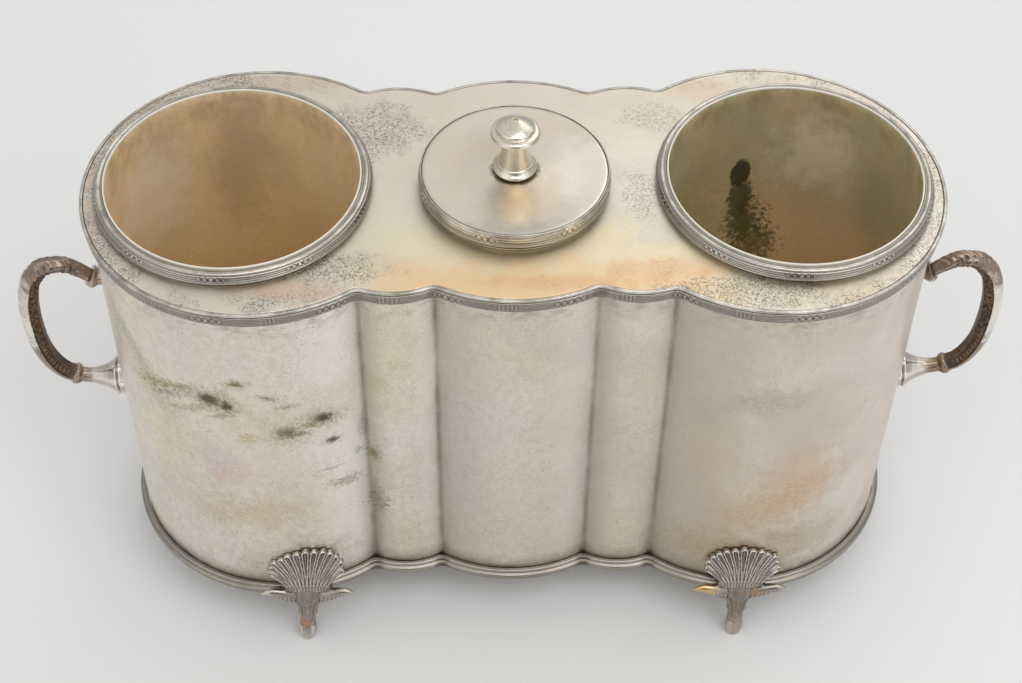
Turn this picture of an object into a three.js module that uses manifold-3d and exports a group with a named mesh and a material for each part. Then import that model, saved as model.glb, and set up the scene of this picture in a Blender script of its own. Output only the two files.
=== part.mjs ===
// Twin bottle cooler in silver plate: a lobed body with a round well at each end for a bottle,
// and a lidded opening between them for ice. It stands on four cast shell feet.
//
// Millimetres, +Z up. The origin is on the floor under the middle of the body.
// +X runs along the body towards the right handle, and -Y is the front.
import * as THREE from "three";
import { mergeVertices } from "three/addons/utils/BufferGeometryUtils.js";
import Module from "manifold-3d";

const wasm = await Module();
wasm.setup();

// ---- Driving dimensions ----
const plateTop = 236; // height of the top plate's upper face over the floor
const bodyBottom = 30.4; // underside of the base plate
const sheet = 1.2; // thickness of the body's sheet metal
const solder = 0.3; // width of a soldered seam between two pieces

const endX = 115; // centre of each end lobe along X
const endR = 75; // outer radius of each end lobe
const outerCreaseX = 69; // crease between an end lobe and the small lobe beside it
const innerCreaseX = 35.5; // crease between a small lobe and the middle lobe
const innerCreaseY = 58;
const smallBulge = 4.2; // how far a small lobe stands out from its chord
const middleBulge = 9.6; // the same for the middle lobe
const wallCreaseR = 1.6; // inside bend of the sheet at a crease
const mouldingCreaseR = 9; // bend of the mouldings at a crease, measured at the wall's outer face

const wellX = 125; // centre of each bottle well along X
const wellR = 56.4; // inner radius of a well, which takes a champagne bottle and ice
const wellWall = 0.8;
const rimHeight = 7;
const rimWidth = 4.6;

const iceR = 37.6; // inner radius of the ice opening's collar
const iceWall = 1;
const iceCollarTop = plateTop + 3;
const iceCollarDepth = 12; // how far the collar hangs below the plate

const lidR = 43; // outer radius of the lid's band
const lidBandHeight = 7;
const lidSheet = 1.2;
const knobHeight = 28.7;

const handleUpperZ = 178; // where the handle's upper end meets the body
const handleLowerZ = 108.5; // the same for its lower end
const footX = { left: -104.5, right: 111.5 }; // the feet's places along X, set by hand and a little uneven

// ---- Derived dimensions ----
const bodyEndX = endX + endR;
const plateUnder = plateTop - 1.5;
const wallTop = plateUnder - solder;
const wallBottom = bodyBottom + sheet + solder;
const rimTop = plateTop + solder + rimHeight;
const lidBottom = iceCollarTop + solder;
const lidTop = lidBottom + lidBandHeight;
const outerCreaseY = Math.sqrt(endR ** 2 - (endX - outerCreaseX) ** 2);

// ---- Materials ----
const finishes = {
  silver: { color: 0xbdb8ae, roughness: 0.34, metalness: 1 },
  moulding: { color: 0x9c978f, roughness: 0.38, metalness: 1 },
  well: { color: 0x9a8259, roughness: 0.42, metalness: 1 },
  casting: { color: 0x8a8178, roughness: 0.42, metalness: 1 },
  handle: { color: 0x7d6a5a, roughness: 0.45, metalness: 1 },
  knob: { color: 0xc6bfb2, roughness: 0.25, metalness: 1 },
  brass: { color: 0x9a7b45, roughness: 0.45, metalness: 1 },
};
const materials = Object.fromEntries(
  Object.entries(finishes).map(([name, finish]) => [name, new THREE.MeshStandardMaterial(finish)]),
);

const cooler = new THREE.Group();
const lid = new THREE.Group();
cooler.add(lid);

function piece(name, geometry, finish, parent = cooler) {
  const mesh = new THREE.Mesh(geometry, materials[finish]);
  mesh.name = name;
  parent.add(mesh);
  return mesh;
}

// ---- The body's lobed outline ----
// Each lobe is a circle. A hollow fillet, whose centre lies outside, joins each pair of neighbours.

// Centre and radius of the circle through two points, bulging outwards from their chord.
function lobeThrough(a, b, bulge) {
  const half = a.distanceTo(b) / 2;
  const radius = (half ** 2 + bulge ** 2) / (2 * bulge);
  const middle = a.clone().add(b).multiplyScalar(0.5);
  const outward = new THREE.Vector2(b.y - a.y, a.x - b.x).normalize();
  return { centre: middle.addScaledVector(outward, bulge - radius), radius };
}

// Where two circles cross, on the side away from the body's middle.
function outerCrossing(p, pr, q, qr) {
  const gap = p.distanceTo(q);
  const along = (pr ** 2 - qr ** 2 + gap ** 2) / (2 * gap);
  const across = Math.sqrt(pr ** 2 - along ** 2);
  const step = q.clone().sub(p).divideScalar(gap);
  const foot = p.clone().addScaledVector(step, along);
  const options = [1, -1].map((side) =>
    foot.clone().add(new THREE.Vector2(-step.y, step.x).multiplyScalar(side * across)),
  );
  return Math.abs(options[0].y) > Math.abs(options[1].y) ? options[0] : options[1];
}

function bodyLobes() {
  const outer = new THREE.Vector2(outerCreaseX, outerCreaseY);
  const inner = new THREE.Vector2(innerCreaseX, innerCreaseY);
  const mirrored = new THREE.Vector2(-innerCreaseX, innerCreaseY);
  const end = { centre: new THREE.Vector2(endX, 0), radius: endR, steps: 26 };
  const small = { ...lobeThrough(outer, inner, smallBulge), steps: 5 };
  const middle = { ...lobeThrough(inner, mirrored, middleBulge), steps: 8 };
  const flipped = (lobe, x, y) => ({
    ...lobe,
    centre: new THREE.Vector2(lobe.centre.x * x, lobe.centre.y * y),
  });
  return [
    end,
    small,
    middle,
    flipped(small, -1, 1),
    flipped(end, -1, 1),
    flipped(small, -1, -1),
    flipped(middle, 1, -1),
    flipped(small, 1, -1),
  ];
}

// The outline as arcs, anticlockwise. creaseR is the fillets' radius at the wall's outer face.
function outlineArcs(creaseR) {
  const lobes = bodyLobes();
  const next = (i) => lobes[(i + 1) % lobes.length];
  const fillets = lobes.map((lobe, i) =>
    outerCrossing(lobe.centre, lobe.radius + creaseR, next(i).centre, next(i).radius + creaseR),
  );
  const angle = (from, to) => to.clone().sub(from).angle();
  return lobes.flatMap((lobe, i) => {
    const before = fillets[(i + lobes.length - 1) % lobes.length];
    const start = angle(lobe.centre, before);
    let end = angle(lobe.centre, fillets[i]);
    if (end < start) end += 2 * Math.PI;
    const filletStart = angle(fillets[i], lobe.centre);
    let filletEnd = angle(fillets[i], next(i).centre);
    if (filletEnd > filletStart) filletEnd -= 2 * Math.PI;
    return [
      { centre: lobe.centre, radius: lobe.radius, sign: 1, start, end, steps: lobe.steps },
      { centre: fillets[i], radius: creaseR, sign: -1, start: filletStart, end: filletEnd, steps: 2 },
    ];
  });
}

// The outline's points, moved outwards by offset. Every offset gives the same number of points.
function outlinePoints(arcs, offset) {
  return arcs.flatMap(({ centre, radius, sign, start, end, steps }) =>
    Array.from({ length: steps }, (_, i) => {
      const a = start + ((end - start) * i) / steps;
      const r = radius + sign * offset;
      return new THREE.Vector2(centre.x + r * Math.cos(a), centre.y + r * Math.sin(a));
    }),
  );
}

const wallArcs = outlineArcs(wallCreaseR);
const mouldingArcs = outlineArcs(mouldingCreaseR);

// ---- Geometry helpers ----
// A closed surface from rings of points that all have the same length. closed joins the last ring
// to the first; otherwise both ends are capped.
function skin(rings, closed) {
  const count = rings[0].length;
  const positions = rings.flat().flatMap((p) => [p.x, p.y, p.z]);
  const faces = [];
  const bands = closed ? rings.length : rings.length - 1;
  for (let j = 0; j < bands; j++) {
    for (let i = 0; i < count; i++) {
      const a = j * count + i;
      const b = j * count + ((i + 1) % count);
      const c = ((j + 1) % rings.length) * count + ((i + 1) % count);
      const d = ((j + 1) % rings.length) * count + i;
      faces.push(a, b, c, a, c, d);
    }
  }
  if (!closed) {
    const last = (rings.length - 1) * count;
    for (let i = 1; i < count - 1; i++) {
      faces.push(0, i + 1, i);
      faces.push(last, last + i, last + i + 1);
    }
  }
  const geometry = new THREE.BufferGeometry();
  geometry.setAttribute("position", new THREE.Float32BufferAttribute(positions, 3));
  geometry.setIndex(faces);
  return geometry;
}

// A strip of the given profile, [offset, z] pairs in anticlockwise order, bent round the outline.
function strip(profile, arcs) {
  const rings = profile.map(([offset, z]) =>
    outlinePoints(arcs, offset).map((p) => new THREE.Vector3(p.x, p.y, z)),
  );
  return skin(rings, true);
}

// A turned piece on the Z axis. The profile is [r, z] pairs, anticlockwise.
function turned(profile, segments = 40) {
  const points = profile.map(([r, z]) => new THREE.Vector2(r, z));
  return new THREE.LatheGeometry(points, segments).rotateX(Math.PI / 2);
}

// The same for a ring, whose profile closes on itself.
function turnedRing(profile, segments) {
  return turned([...profile, profile[0]], segments);
}

// A flat sheet of the outline's shape with round holes, between two heights.
function lobedSheet(offset, bottom, top, holes = []) {
  const shape = new THREE.Shape(outlinePoints(mouldingArcs, offset));
  for (const { x, radius } of holes) {
    shape.holes.push(new THREE.Path().absarc(x, 0, radius, 0, 2 * Math.PI, true));
  }
  const geometry = new THREE.ExtrudeGeometry(shape, {
    depth: top - bottom,
    bevelEnabled: false,
    curveSegments: 48,
  });
  return geometry.translate(0, 0, bottom);
}

// Rounded sections, [centre, half width, half depth], skinned into one closed body.
// u and v are the section's directions, and u cross v points along the body.
function loft(sections, u, v, corners = 10) {
  const rings = sections.map(([centre, a, b]) =>
    Array.from({ length: corners }, (_, i) => {
      const t = ((i + 0.5) / corners) * 2 * Math.PI;
      return centre
        .clone()
        .addScaledVector(u, a * Math.cos(t))
        .addScaledVector(v, b * Math.sin(t));
    }),
  );
  return skin(rings, false);
}

function solid(geometry) {
  const bare = geometry.clone();
  bare.deleteAttribute("normal");
  bare.deleteAttribute("uv");
  const merged = mergeVertices(bare, 1e-4);
  return new wasm.Manifold(
    new wasm.Mesh({
      numProp: 3,
      vertProperties: merged.attributes.position.array,
      triVerts: new Uint32Array(merged.index.array),
    }),
  );
}

function fromSolid(made) {
  const mesh = made.getMesh();
  const geometry = new THREE.BufferGeometry();
  geometry.setAttribute("position", new THREE.BufferAttribute(mesh.vertProperties, mesh.numProp));
  geometry.setIndex(new THREE.BufferAttribute(mesh.triVerts, 1));
  return geometry;
}

const X = new THREE.Vector3(1, 0, 0);
const Y = new THREE.Vector3(0, 1, 0);
const Z = new THREE.Vector3(0, 0, 1);
const point = (x, y, z) => new THREE.Vector3(x, y, z);

// ---- Body ----
function addBody() {
  const wall = [
    [-sheet, wallBottom],
    [0, wallBottom],
    [0, wallTop],
    [-sheet, wallTop],
  ];
  piece("body_shell", strip(wall, wallArcs), "silver");
  piece("base_plate", lobedSheet(0, bodyBottom, bodyBottom + sheet), "silver");

  const baseMoulding = [
    [solder, bodyBottom - 1.8],
    [2.2, bodyBottom - 1.8],
    [3.6, bodyBottom],
    [2.8, bodyBottom + 2.8],
    [solder, bodyBottom + 4.6],
  ];
  piece("base_moulding", strip(baseMoulding, mouldingArcs), "moulding");

  const holes = [
    { x: -wellX, radius: wellR + wellWall + solder },
    { x: 0, radius: iceR + iceWall + solder },
    { x: wellX, radius: wellR + wellWall + solder },
  ];
  piece("top_plate", lobedSheet(1.3, plateUnder, plateTop, holes), "silver");

  const topBand = [
    [solder, plateTop - 8.6],
    [2, plateTop - 8.6],
    [3.3, plateTop - 6],
    [3.1, plateTop],
    [1.6, plateTop],
    [1.6, plateUnder - solder],
    [solder, plateUnder - solder],
  ];
  piece("top_band", strip(topBand, mouldingArcs), "moulding");
}

// ---- Bottle wells ----
// A tube from the base plate up through the top plate, and the moulded rim round its mouth.
function addWell(side, x) {
  const outer = wellR + wellWall;
  const tube = [
    [wellR, wallBottom],
    [outer, wallBottom],
    [outer, rimTop],
    [wellR, rimTop],
  ];
  piece(`${side}_well_tube`, turnedRing(tube), "well").position.x = x;

  const inside = outer + solder;
  const foot = plateTop + solder;
  const rim = [
    [inside, foot],
    [inside + rimWidth - 1.4, foot],
    [inside + rimWidth - 0.3, foot + 1.6],
    [inside + rimWidth, foot + 3.4],
    [inside + rimWidth - 1, foot + 5.4],
    [inside + 1.2, rimTop - 0.4],
    [inside, rimTop - 0.4],
  ];
  piece(`${side}_well_rim`, turnedRing(rim), "moulding").position.x = x;
}

// ---- Ice opening ----
function addIceCollar() {
  const outer = iceR + iceWall;
  const collar = [
    [iceR, plateTop - iceCollarDepth],
    [outer, plateTop - iceCollarDepth],
    [outer, plateTop + solder],
    [outer + 2.4, plateTop + solder],
    [outer + 2.4, plateTop + solder + 0.8],
    [outer, plateTop + solder + 1.2],
    [outer, iceCollarTop],
    [iceR, iceCollarTop],
  ];
  piece("ice_collar", turnedRing(collar), "moulding");
}

// ---- Lid ----
function addLid() {
  const sleeveOuter = iceR - 0.6;
  const seatR = lidR - 1.6 - solder;
  const sleeve = [
    [sleeveOuter - 1, iceCollarTop - 11],
    [sleeveOuter, iceCollarTop - 11],
    [sleeveOuter, lidBottom],
    [seatR, lidBottom],
    [seatR, lidBottom + 1],
    [sleeveOuter - 1, lidBottom + 1],
  ];
  piece("lid_sleeve", turnedRing(sleeve), "silver", lid);

  const band = [
    [lidR - 1.6, lidBottom],
    [lidR - 0.5, lidBottom],
    [lidR, lidBottom + 1.6],
    [lidR, lidTop - 2],
    [lidR - 0.8, lidTop - 0.3],
    [lidR - 1.6, lidTop - 0.3],
  ];
  piece("lid_band", turnedRing(band), "moulding", lid);

  const studR = 1.6;
  const plateR = lidR - 1.6 - solder;
  const plate = [
    [studR + solder, lidTop - lidSheet],
    [plateR, lidTop - lidSheet],
    [plateR, lidTop],
    [studR + solder, lidTop],
  ];
  piece("lid_plate", turnedRing(plate), "silver", lid);
  addKnob(studR);
}

function addKnob(studR) {
  const bore = studR + solder;
  const foot = lidTop + solder;
  const capFoot = foot + 19.2;
  const capTop = foot + knobHeight;
  const cover = 3; // metal left over the blind end of the cap's bore
  const stem = [
    [bore, foot],
    [10, foot],
    [10.2, foot + 1.4],
    [9.2, foot + 2.2],
    [9.3, foot + 3.8],
    [8.2, foot + 6.2],
    [6, foot + 9],
    [4.4, foot + 12],
    [4, foot + 15.5],
    [4.6, capFoot],
    [bore, capFoot],
  ];
  piece("knob_stem", turnedRing(stem, 28), "knob", lid);

  const cap = [
    [0, capTop - cover],
    [bore, capTop - cover],
    [bore, capFoot + solder],
    [6, capFoot + solder],
    [10.8, capFoot + 1.6],
    [11.1, capFoot + 2.7],
    [9.4, capFoot + 3.8],
    [9.6, capFoot + 5.4],
    [8.6, capFoot + 6.2],
    [0, capTop],
  ];
  piece("knob_cap", turned(cap, 28), "knob", lid);

  const nutTop = lidTop - lidSheet - solder;
  const nutBottom = nutTop - 3.4;
  const stud = [
    [0, nutBottom - 1.5],
    [studR, nutBottom - 1.5],
    [studR, capTop - cover - solder],
    [0, capTop - cover - solder],
  ];
  piece("knob_stud", turned(stud, 16), "brass", lid);

  const nutR = 3.9;
  const hexagon = new THREE.Shape(
    Array.from({ length: 6 }, (_, i) => {
      const a = (i * Math.PI) / 3;
      return new THREE.Vector2(nutR * Math.cos(a), nutR * Math.sin(a));
    }),
  );
  hexagon.holes.push(new THREE.Path().absarc(0, 0, bore, 0, 2 * Math.PI, true));
  const nut = new THREE.ExtrudeGeometry(hexagon, {
    depth: nutTop - nutBottom,
    bevelEnabled: false,
    curveSegments: 8,
  });
  piece("knob_nut", nut.translate(0, 0, nutBottom), "brass", lid);
}

// ---- Handles ----
// Each handle is drawn for the +X end in the XZ plane, in a group turned to its own end.
// A cast bar with a ridge along its front and back runs between two ferrules.
const barRoute = [
  [199.2, 180.2],
  [205, 184.8],
  [212.5, 187],
  [220.5, 183.6],
  [226.2, 175],
  [229.4, 161],
  [229.9, 146],
  [228.6, 132],
  [225, 121.4],
  [220.6, 115.4],
  [216.6, 113],
];

// The bar's section as [outwards, sideways] pairs, and how large it is along the bar.
const barSection = [
  [4.4, 1.6],
  [3.2, 3.8],
  [0.4, 4.6],
  [-4.2, 2.4],
  [-4.2, -2.4],
  [0.4, -4.6],
  [3.2, -3.8],
  [4.4, -1.6],
];
const barSize = (share) => 0.76 + 0.34 * Math.sin(Math.PI * share) ** 0.8;
const eightSided = Array.from({ length: 8 }, (_, i) => {
  const a = ((i + 0.5) * Math.PI) / 4;
  return [Math.cos(a), Math.sin(a)];
});

// A section swept along a route in the XZ plane. Stations are [share of the route, size] pairs.
function sweep(route, section, stations) {
  const rings = stations.map(([share, size]) => {
    const centre = route.getPointAt(share);
    const outward = Y.clone().cross(route.getTangentAt(share));
    return section.map(([across, depth]) =>
      centre
        .clone()
        .addScaledVector(outward, -across * size)
        .addScaledVector(Y, -depth * size),
    );
  });
  return skin(rings, false);
}

// A swept piece cut to sit on the end lobe's wall.
function againstWall(geometry) {
  const lobe = new THREE.CylinderGeometry(endR + solder, endR + solder, plateTop, 96);
  lobe.rotateX(Math.PI / 2).translate(endX, 0, plateTop / 2);
  return fromSolid(solid(geometry).subtract(solid(lobe)));
}

function addHandle(side, turn) {
  const handle = new THREE.Group();
  handle.rotation.z = turn;
  cooler.add(handle);

  const route = new THREE.CatmullRomCurve3(
    barRoute.map(([x, z]) => point(x, 0, z)),
    false,
    "centripetal",
  );
  const barSteps = 24;
  const barStations = Array.from({ length: barSteps + 1 }, (_, i) => [i / barSteps, barSize(i / barSteps)]);
  piece(`${side}_handle_bar`, sweep(route, barSection, barStations), "handle", handle);

  // Each ferrule starts at one end of the bar and bends until it meets the wall squarely.
  const ferruleRoute = (end, way, z) => {
    const start = end.clone().addScaledVector(way, solder);
    const bend = start.clone().addScaledVector(way, 5);
    return new THREE.QuadraticBezierCurve3(start, bend, point(bodyEndX - 2, 0, z));
  };
  const upperWay = route.getTangentAt(0).negate();
  const upperRoute = ferruleRoute(route.getPointAt(0), upperWay, handleUpperZ);
  const bead = [
    [0, 3.6],
    [0.06, 5.4],
    [0.2, 5.6],
    [0.3, 4.2],
    [1, 4],
  ];
  const upper = againstWall(sweep(upperRoute, eightSided, bead));
  piece(`${side}_handle_upper_ferrule`, upper, "handle", handle);

  const lowerRoute = ferruleRoute(route.getPointAt(1), route.getTangentAt(1), handleLowerZ);
  const trumpet = [
    [0, 3.8],
    [0.04, 5.4],
    [0.11, 5.2],
    [0.16, 3.9],
    [0.32, 4],
    [0.48, 5.2],
    [0.64, 7.4],
    [0.78, 10],
    [0.8, 9.2],
    [0.83, 9.2],
    [0.85, 10.6],
    [1, 10.8],
  ];
  const lower = againstWall(sweep(lowerRoute, eightSided, trumpet));
  piece(`${side}_handle_lower_socket`, lower, "handle", handle);
}

// ---- Feet ----
// One casting each: a scallop shell against the wall, a strap, two side leaves and a leg.
// It is drawn at the front, around its own middle, and mirrored for the back.
const shellRibs = 9;
const shellR = 16.6; // reach of the fan sideways
const shellRise = 6.6; // how much further it reaches upwards
const shellFootZ = 41.5;
const footY = -endR;

// The scalloped fan as a flat shape: x across, y up.
function shellShape() {
  const outline = [new THREE.Vector2(11.6, 0)];
  const spread = 1.32; // the fan's half angle from straight up
  const stepsPerRib = 4;
  for (let i = 0; i <= shellRibs * stepsPerRib; i++) {
    const share = i / (shellRibs * stepsPerRib);
    const angle = spread - 2 * spread * share;
    const scallop = 1.3 * Math.abs(Math.sin(Math.PI * share * shellRibs));
    const reach = shellR + scallop + shellRise * Math.cos(angle) ** 2;
    outline.push(new THREE.Vector2(reach * Math.sin(angle), 1 + reach * Math.cos(angle)));
  }
  outline.push(new THREE.Vector2(-11.6, 0));
  return new THREE.Shape(outline);
}

function footSolid(x) {
  const shell = new THREE.ExtrudeGeometry(shellShape(), { depth: 9, bevelEnabled: false });
  shell.rotateX(Math.PI / 2).translate(0, footY - 0.5, shellFootZ);
  // The shell leans in towards its top edge.
  const lean = new THREE.Matrix4().makeShear(0, 0, 0, 0, 0, 0.14);
  shell.applyMatrix4(lean.clone().setPosition(0, -0.14 * shellFootZ, 0));

  const face = footY - 6.6; // the strap's front
  const strap = new THREE.BoxGeometry(23.2, 9, 7.2).translate(0, face + 4.5, shellFootZ - 3);
  const leafSections = [
    [0, 3.2, 31.5, 4.8, 5],
    [9, 2.6, 32.2, 4.2, 3.6],
    [17, 1.4, 34, 2.4, 2],
    [23.4, 0.4, 35.5, 0.8, 0.8],
  ];
  const section = (x, [, back, z, depth, height]) => [point(x, face + back, z), depth, height];
  const leaves = loft(
    [
      ...leafSections.slice(1).reverse().map((row) => section(-row[0], row)),
      ...leafSections.map((row) => section(row[0], row)),
    ],
    Y,
    Z,
    10,
  );
  const leg = loft(
    [
      [point(0, footY - 7.4, 0), 3.6, 3.6],
      [point(0, footY - 7.8, 3), 4.4, 4.6],
      [point(0, footY - 7.2, 8), 4.2, 4.4],
      [point(0, footY - 6, 13.5), 3.9, 4.2],
      [point(0, footY - 4.6, 19), 5, 4.8],
      [point(0, footY - 3, 24.5), 8, 6],
      [point(0, footY - 1.6, 29), 11, 6.8],
    ],
    X,
    Y,
    12,
  );
  const blank = [strap, leaves, leg].reduce((sum, g) => sum.add(solid(g)), solid(shell));

  // Room for the wall and the base moulding behind the casting, and for the base plate over it.
  const upright = (radius, bottom, top) =>
    new THREE.CylinderGeometry(radius, radius, top - bottom, 72)
      .rotateX(Math.PI / 2)
      .translate(endX - x, 0, (top + bottom) / 2);
  const wall = upright(endR + solder, bodyBottom - 2.1, plateTop);
  const moulding = upright(endR + 3.6 + solder, bodyBottom - 2.1, bodyBottom + 4.9);
  return blank.subtract(solid(wall)).subtract(solid(moulding));
}

function addFeet() {
  for (const side of ["left", "right"]) {
    const x = footX[side];
    // The back foot is the front one mirrored, so the wall behind it is the same.
    const front = footSolid(Math.abs(x));
    const facing = x > 0 ? front : front.mirror([1, 0, 0]);
    piece(`foot_front_${side}`, fromSolid(facing), "casting").position.x = x;
    piece(`foot_back_${side}`, fromSolid(facing.mirror([0, 1, 0])), "casting").position.x = x;
  }
}

addBody();
addWell("left", -wellX);
addWell("right", wellX);
addIceCollar();
addLid();
addHandle("right", 0);
addHandle("left", Math.PI);
addFeet();

export default cooler;
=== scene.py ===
"""Looks of the twin bottle cooler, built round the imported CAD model.

Lengths are in millimetres until a mesh is made. +Z is up, -Y is the front.
"""

import cmath
import math

import bmesh
import bpy
import numpy as np
from mathutils import Matrix, Vector
from mathutils.geometry import delaunay_2d_cdt


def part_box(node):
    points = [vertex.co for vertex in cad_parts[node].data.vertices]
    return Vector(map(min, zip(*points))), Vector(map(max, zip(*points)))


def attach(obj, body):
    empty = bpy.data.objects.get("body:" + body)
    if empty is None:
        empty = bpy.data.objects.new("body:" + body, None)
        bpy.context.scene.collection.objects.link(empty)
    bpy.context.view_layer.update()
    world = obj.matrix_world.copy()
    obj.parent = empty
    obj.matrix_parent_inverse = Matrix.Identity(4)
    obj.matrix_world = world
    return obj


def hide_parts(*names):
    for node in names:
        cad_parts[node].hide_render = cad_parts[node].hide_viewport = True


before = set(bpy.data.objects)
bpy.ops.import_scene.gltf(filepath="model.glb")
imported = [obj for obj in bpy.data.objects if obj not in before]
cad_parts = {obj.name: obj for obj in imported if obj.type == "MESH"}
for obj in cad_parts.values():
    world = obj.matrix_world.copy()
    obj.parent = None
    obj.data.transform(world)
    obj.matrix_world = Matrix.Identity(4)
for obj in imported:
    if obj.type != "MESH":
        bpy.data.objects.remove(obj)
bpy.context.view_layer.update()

MM = 0.001


def mm_box(node):
    """Lowest and highest corner of a CAD node in millimetres."""
    low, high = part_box(node)
    return np.array(low) / MM, np.array(high) / MM


# ---- Dimensions, read off the CAD where it has them ----
PLATE_UNDER, PLATE_TOP = (corner[2] for corner in mm_box("top_plate"))
WALL_BOTTOM, WALL_TOP = (corner[2] for corner in mm_box("body_shell"))
BASE_UNDER = mm_box("base_plate")[0][2]
BODY_END = mm_box("body_shell")[1][0]
WELL_LOW, WELL_HIGH = mm_box("right_well_tube")
WELL_X = (WELL_LOW[0] + WELL_HIGH[0]) / 2
WELL_OUTER = (WELL_HIGH[0] - WELL_LOW[0]) / 2
RIM_TOP = WELL_HIGH[2]
COLLAR_TOP = mm_box("ice_collar")[1][2]
LID_BOTTOM = mm_box("lid_band")[0][2]
LID_R = mm_box("lid_band")[1][0]
LID_TOP = mm_box("lid_plate")[1][2]
KNOB_FOOT = mm_box("knob_stem")[0][2]

SHEET = 1.2
SOLDER = 0.3
END_X = 115.0
END_R = 75.0
OUTER_CREASE = complex(69.0, math.sqrt(END_R**2 - (END_X - 69.0) ** 2))
INNER_CREASE = complex(35.5, 58.0)
SMALL_BULGE = 4.2
MIDDLE_BULGE = 9.6
WALL_CREASE_R = 1.6
MOULDING_CREASE_R = 9.0
FOOT_X = {"left": -104.5, "right": 111.5}


# ---- Meshes ----
def signed_volume(points, faces):
    total = 0.0
    for face in faces:
        a = points[face[:, 0]]
        for k in range(1, face.shape[1] - 1):
            total += np.einsum("ij,ij->", a, np.cross(points[face[:, k]], points[face[:, k + 1]]))
    return total


def facing_outwards(points, faces):
    """The same faces, turned round if they face inwards."""
    if signed_volume(points, faces) < 0:
        return [f[:, ::-1] for f in faces]
    return faces


def new_mesh(name, points, faces, change=None):
    """faces is a list of arrays, each with faces of one size. change is a bmesh operation to run."""
    mesh = bpy.data.meshes.new(name)
    mesh.from_pydata((points * MM).tolist(), [], [row for f in faces for row in f.tolist()])
    if change:
        work = bmesh.new()
        work.from_mesh(mesh)
        change(work)
        work.to_mesh(mesh)
        work.free()
    return mesh


def make_piece(name, points, faces, *looks, weld=False, **more):
    """One closed piece. looks and more are dress's."""

    def join_doubles(work):
        bmesh.ops.remove_doubles(work, verts=work.verts, dist=1e-6)

    mesh = new_mesh(name, points, facing_outwards(points, faces), join_doubles if weld else None)
    return dress(name, mesh, *looks, **more)


def dress(name, mesh, material, body, slot, nodes, sharp=40, cavity=0):
    """Makes an object of a mesh, with its shading, its material and its body. slot is not used.

    sharp is the angle in degrees from which an edge shows, and 0 for none. cavity is how many rounds
    of smoothing the relief is measured against, and 0 for no relief.
    """
    mesh.shade_smooth()
    if sharp:
        mesh.set_sharp_from_angle(angle=math.radians(sharp))
    if cavity:
        store_cavity(mesh, cavity)
    mesh.materials.append(material)
    piece = bpy.data.objects.new(name, mesh)
    bpy.context.scene.collection.objects.link(piece)
    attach(piece, body)
    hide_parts(*nodes)
    return piece


def store(mesh, name, values):
    """Keeps one number for each point, for the materials to read."""
    mesh.attributes.new(name, "FLOAT", "POINT").data.foreach_set("value", values.astype(np.float32))


def vectors(collection, name):
    """A mesh's points or their normals as rows."""
    flat = np.empty(len(collection) * 3)
    collection.foreach_get(name, flat)
    return flat.reshape(-1, 3)


def store_cavity(mesh, rounds):
    """Stores how far each point stands out from its smoothed surroundings, in millimetres."""
    count = len(mesh.vertices)
    co = vectors(mesh.vertices, "co") / MM
    edges = np.empty(len(mesh.edges) * 2, int)
    mesh.edges.foreach_get("vertices", edges)
    a, b = edges.reshape(-1, 2).T
    share = 1 / np.maximum(np.bincount(a, minlength=count) + np.bincount(b, minlength=count), 1)
    smooth = co.copy()
    for _ in range(rounds):
        near = [
            (np.bincount(a, smooth[b, k], count) + np.bincount(b, smooth[a, k], count)) * share
            for k in range(3)
        ]
        smooth = 0.5 * smooth + 0.5 * np.array(near).T
    store(mesh, "cavity", np.einsum("ij,ij->i", co - smooth, vectors(mesh.vertices, "normal")))


def grid_faces(rows, columns, wrap_rows=True, wrap_columns=True):
    j, i = np.meshgrid(
        np.arange(rows if wrap_rows else rows - 1),
        np.arange(columns if wrap_columns else columns - 1),
        indexing="ij",
    )
    down, right = (j + 1) % rows, (i + 1) % columns
    return np.stack(
        [j * columns + i, j * columns + right, down * columns + right, down * columns + i], -1
    ).reshape(-1, 4)


def rounded(corners, spacing, across=0, up=0):
    """A closed outline from (across, up, corner radius) rows, as evenly spaced points.

    across and up say where the rows' own zero lies.
    """
    corners = [(complex(across + x, up + y), r) for x, y, r in corners]
    path = []
    for k, (corner, radius) in enumerate(corners):
        before, after = corners[k - 1][0], corners[(k + 1) % len(corners)][0]
        back, on = before - corner, after - corner
        reach = min(radius, abs(back) * 0.49, abs(on) * 0.49)
        a, c = corner + back / abs(back) * reach, corner + on / abs(on) * reach
        steps = max(1, round(reach * 2 / min(spacing, 0.35))) if reach > 0.02 else 0
        for t in np.linspace(0, 1, steps + 1) if steps else [0]:
            path.append(a * (1 - t) ** 2 + 2 * corner * t * (1 - t) + c * t**2)
    dense = []
    for k, z in enumerate(path):
        nxt = path[(k + 1) % len(path)]
        count = max(1, math.ceil(abs(nxt - z) / spacing))
        dense += [z + (nxt - z) * i / count for i in range(count)]
    keep = [z for k, z in enumerate(dense) if abs(z - dense[k - 1]) > 1e-4]
    return np.array([[z.real, z.imag] for z in keep])


def spline(rows, steps):
    """Smooth rows between the given ones, evenly spread over their indices."""
    rows = np.asarray(rows, float)
    t = np.linspace(0, len(rows) - 1, steps)
    k = np.minimum(t.astype(int), len(rows) - 2)
    f = (t - k)[:, None]
    pad = np.vstack([2 * rows[0] - rows[1], rows, 2 * rows[-1] - rows[-2]])
    p0, p1, p2, p3 = pad[k], pad[k + 1], pad[k + 2], pad[k + 3]
    return 0.5 * (
        2 * p1 + (p2 - p0) * f + (2 * p0 - 5 * p1 + 4 * p2 - p3) * f**2 + (3 * p1 - p0 - 3 * p2 + p3) * f**3
    )


def smoothstep(low, high, value):
    t = np.clip((value - low) / (high - low), 0, 1)
    return t * t * (3 - 2 * t)


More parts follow.
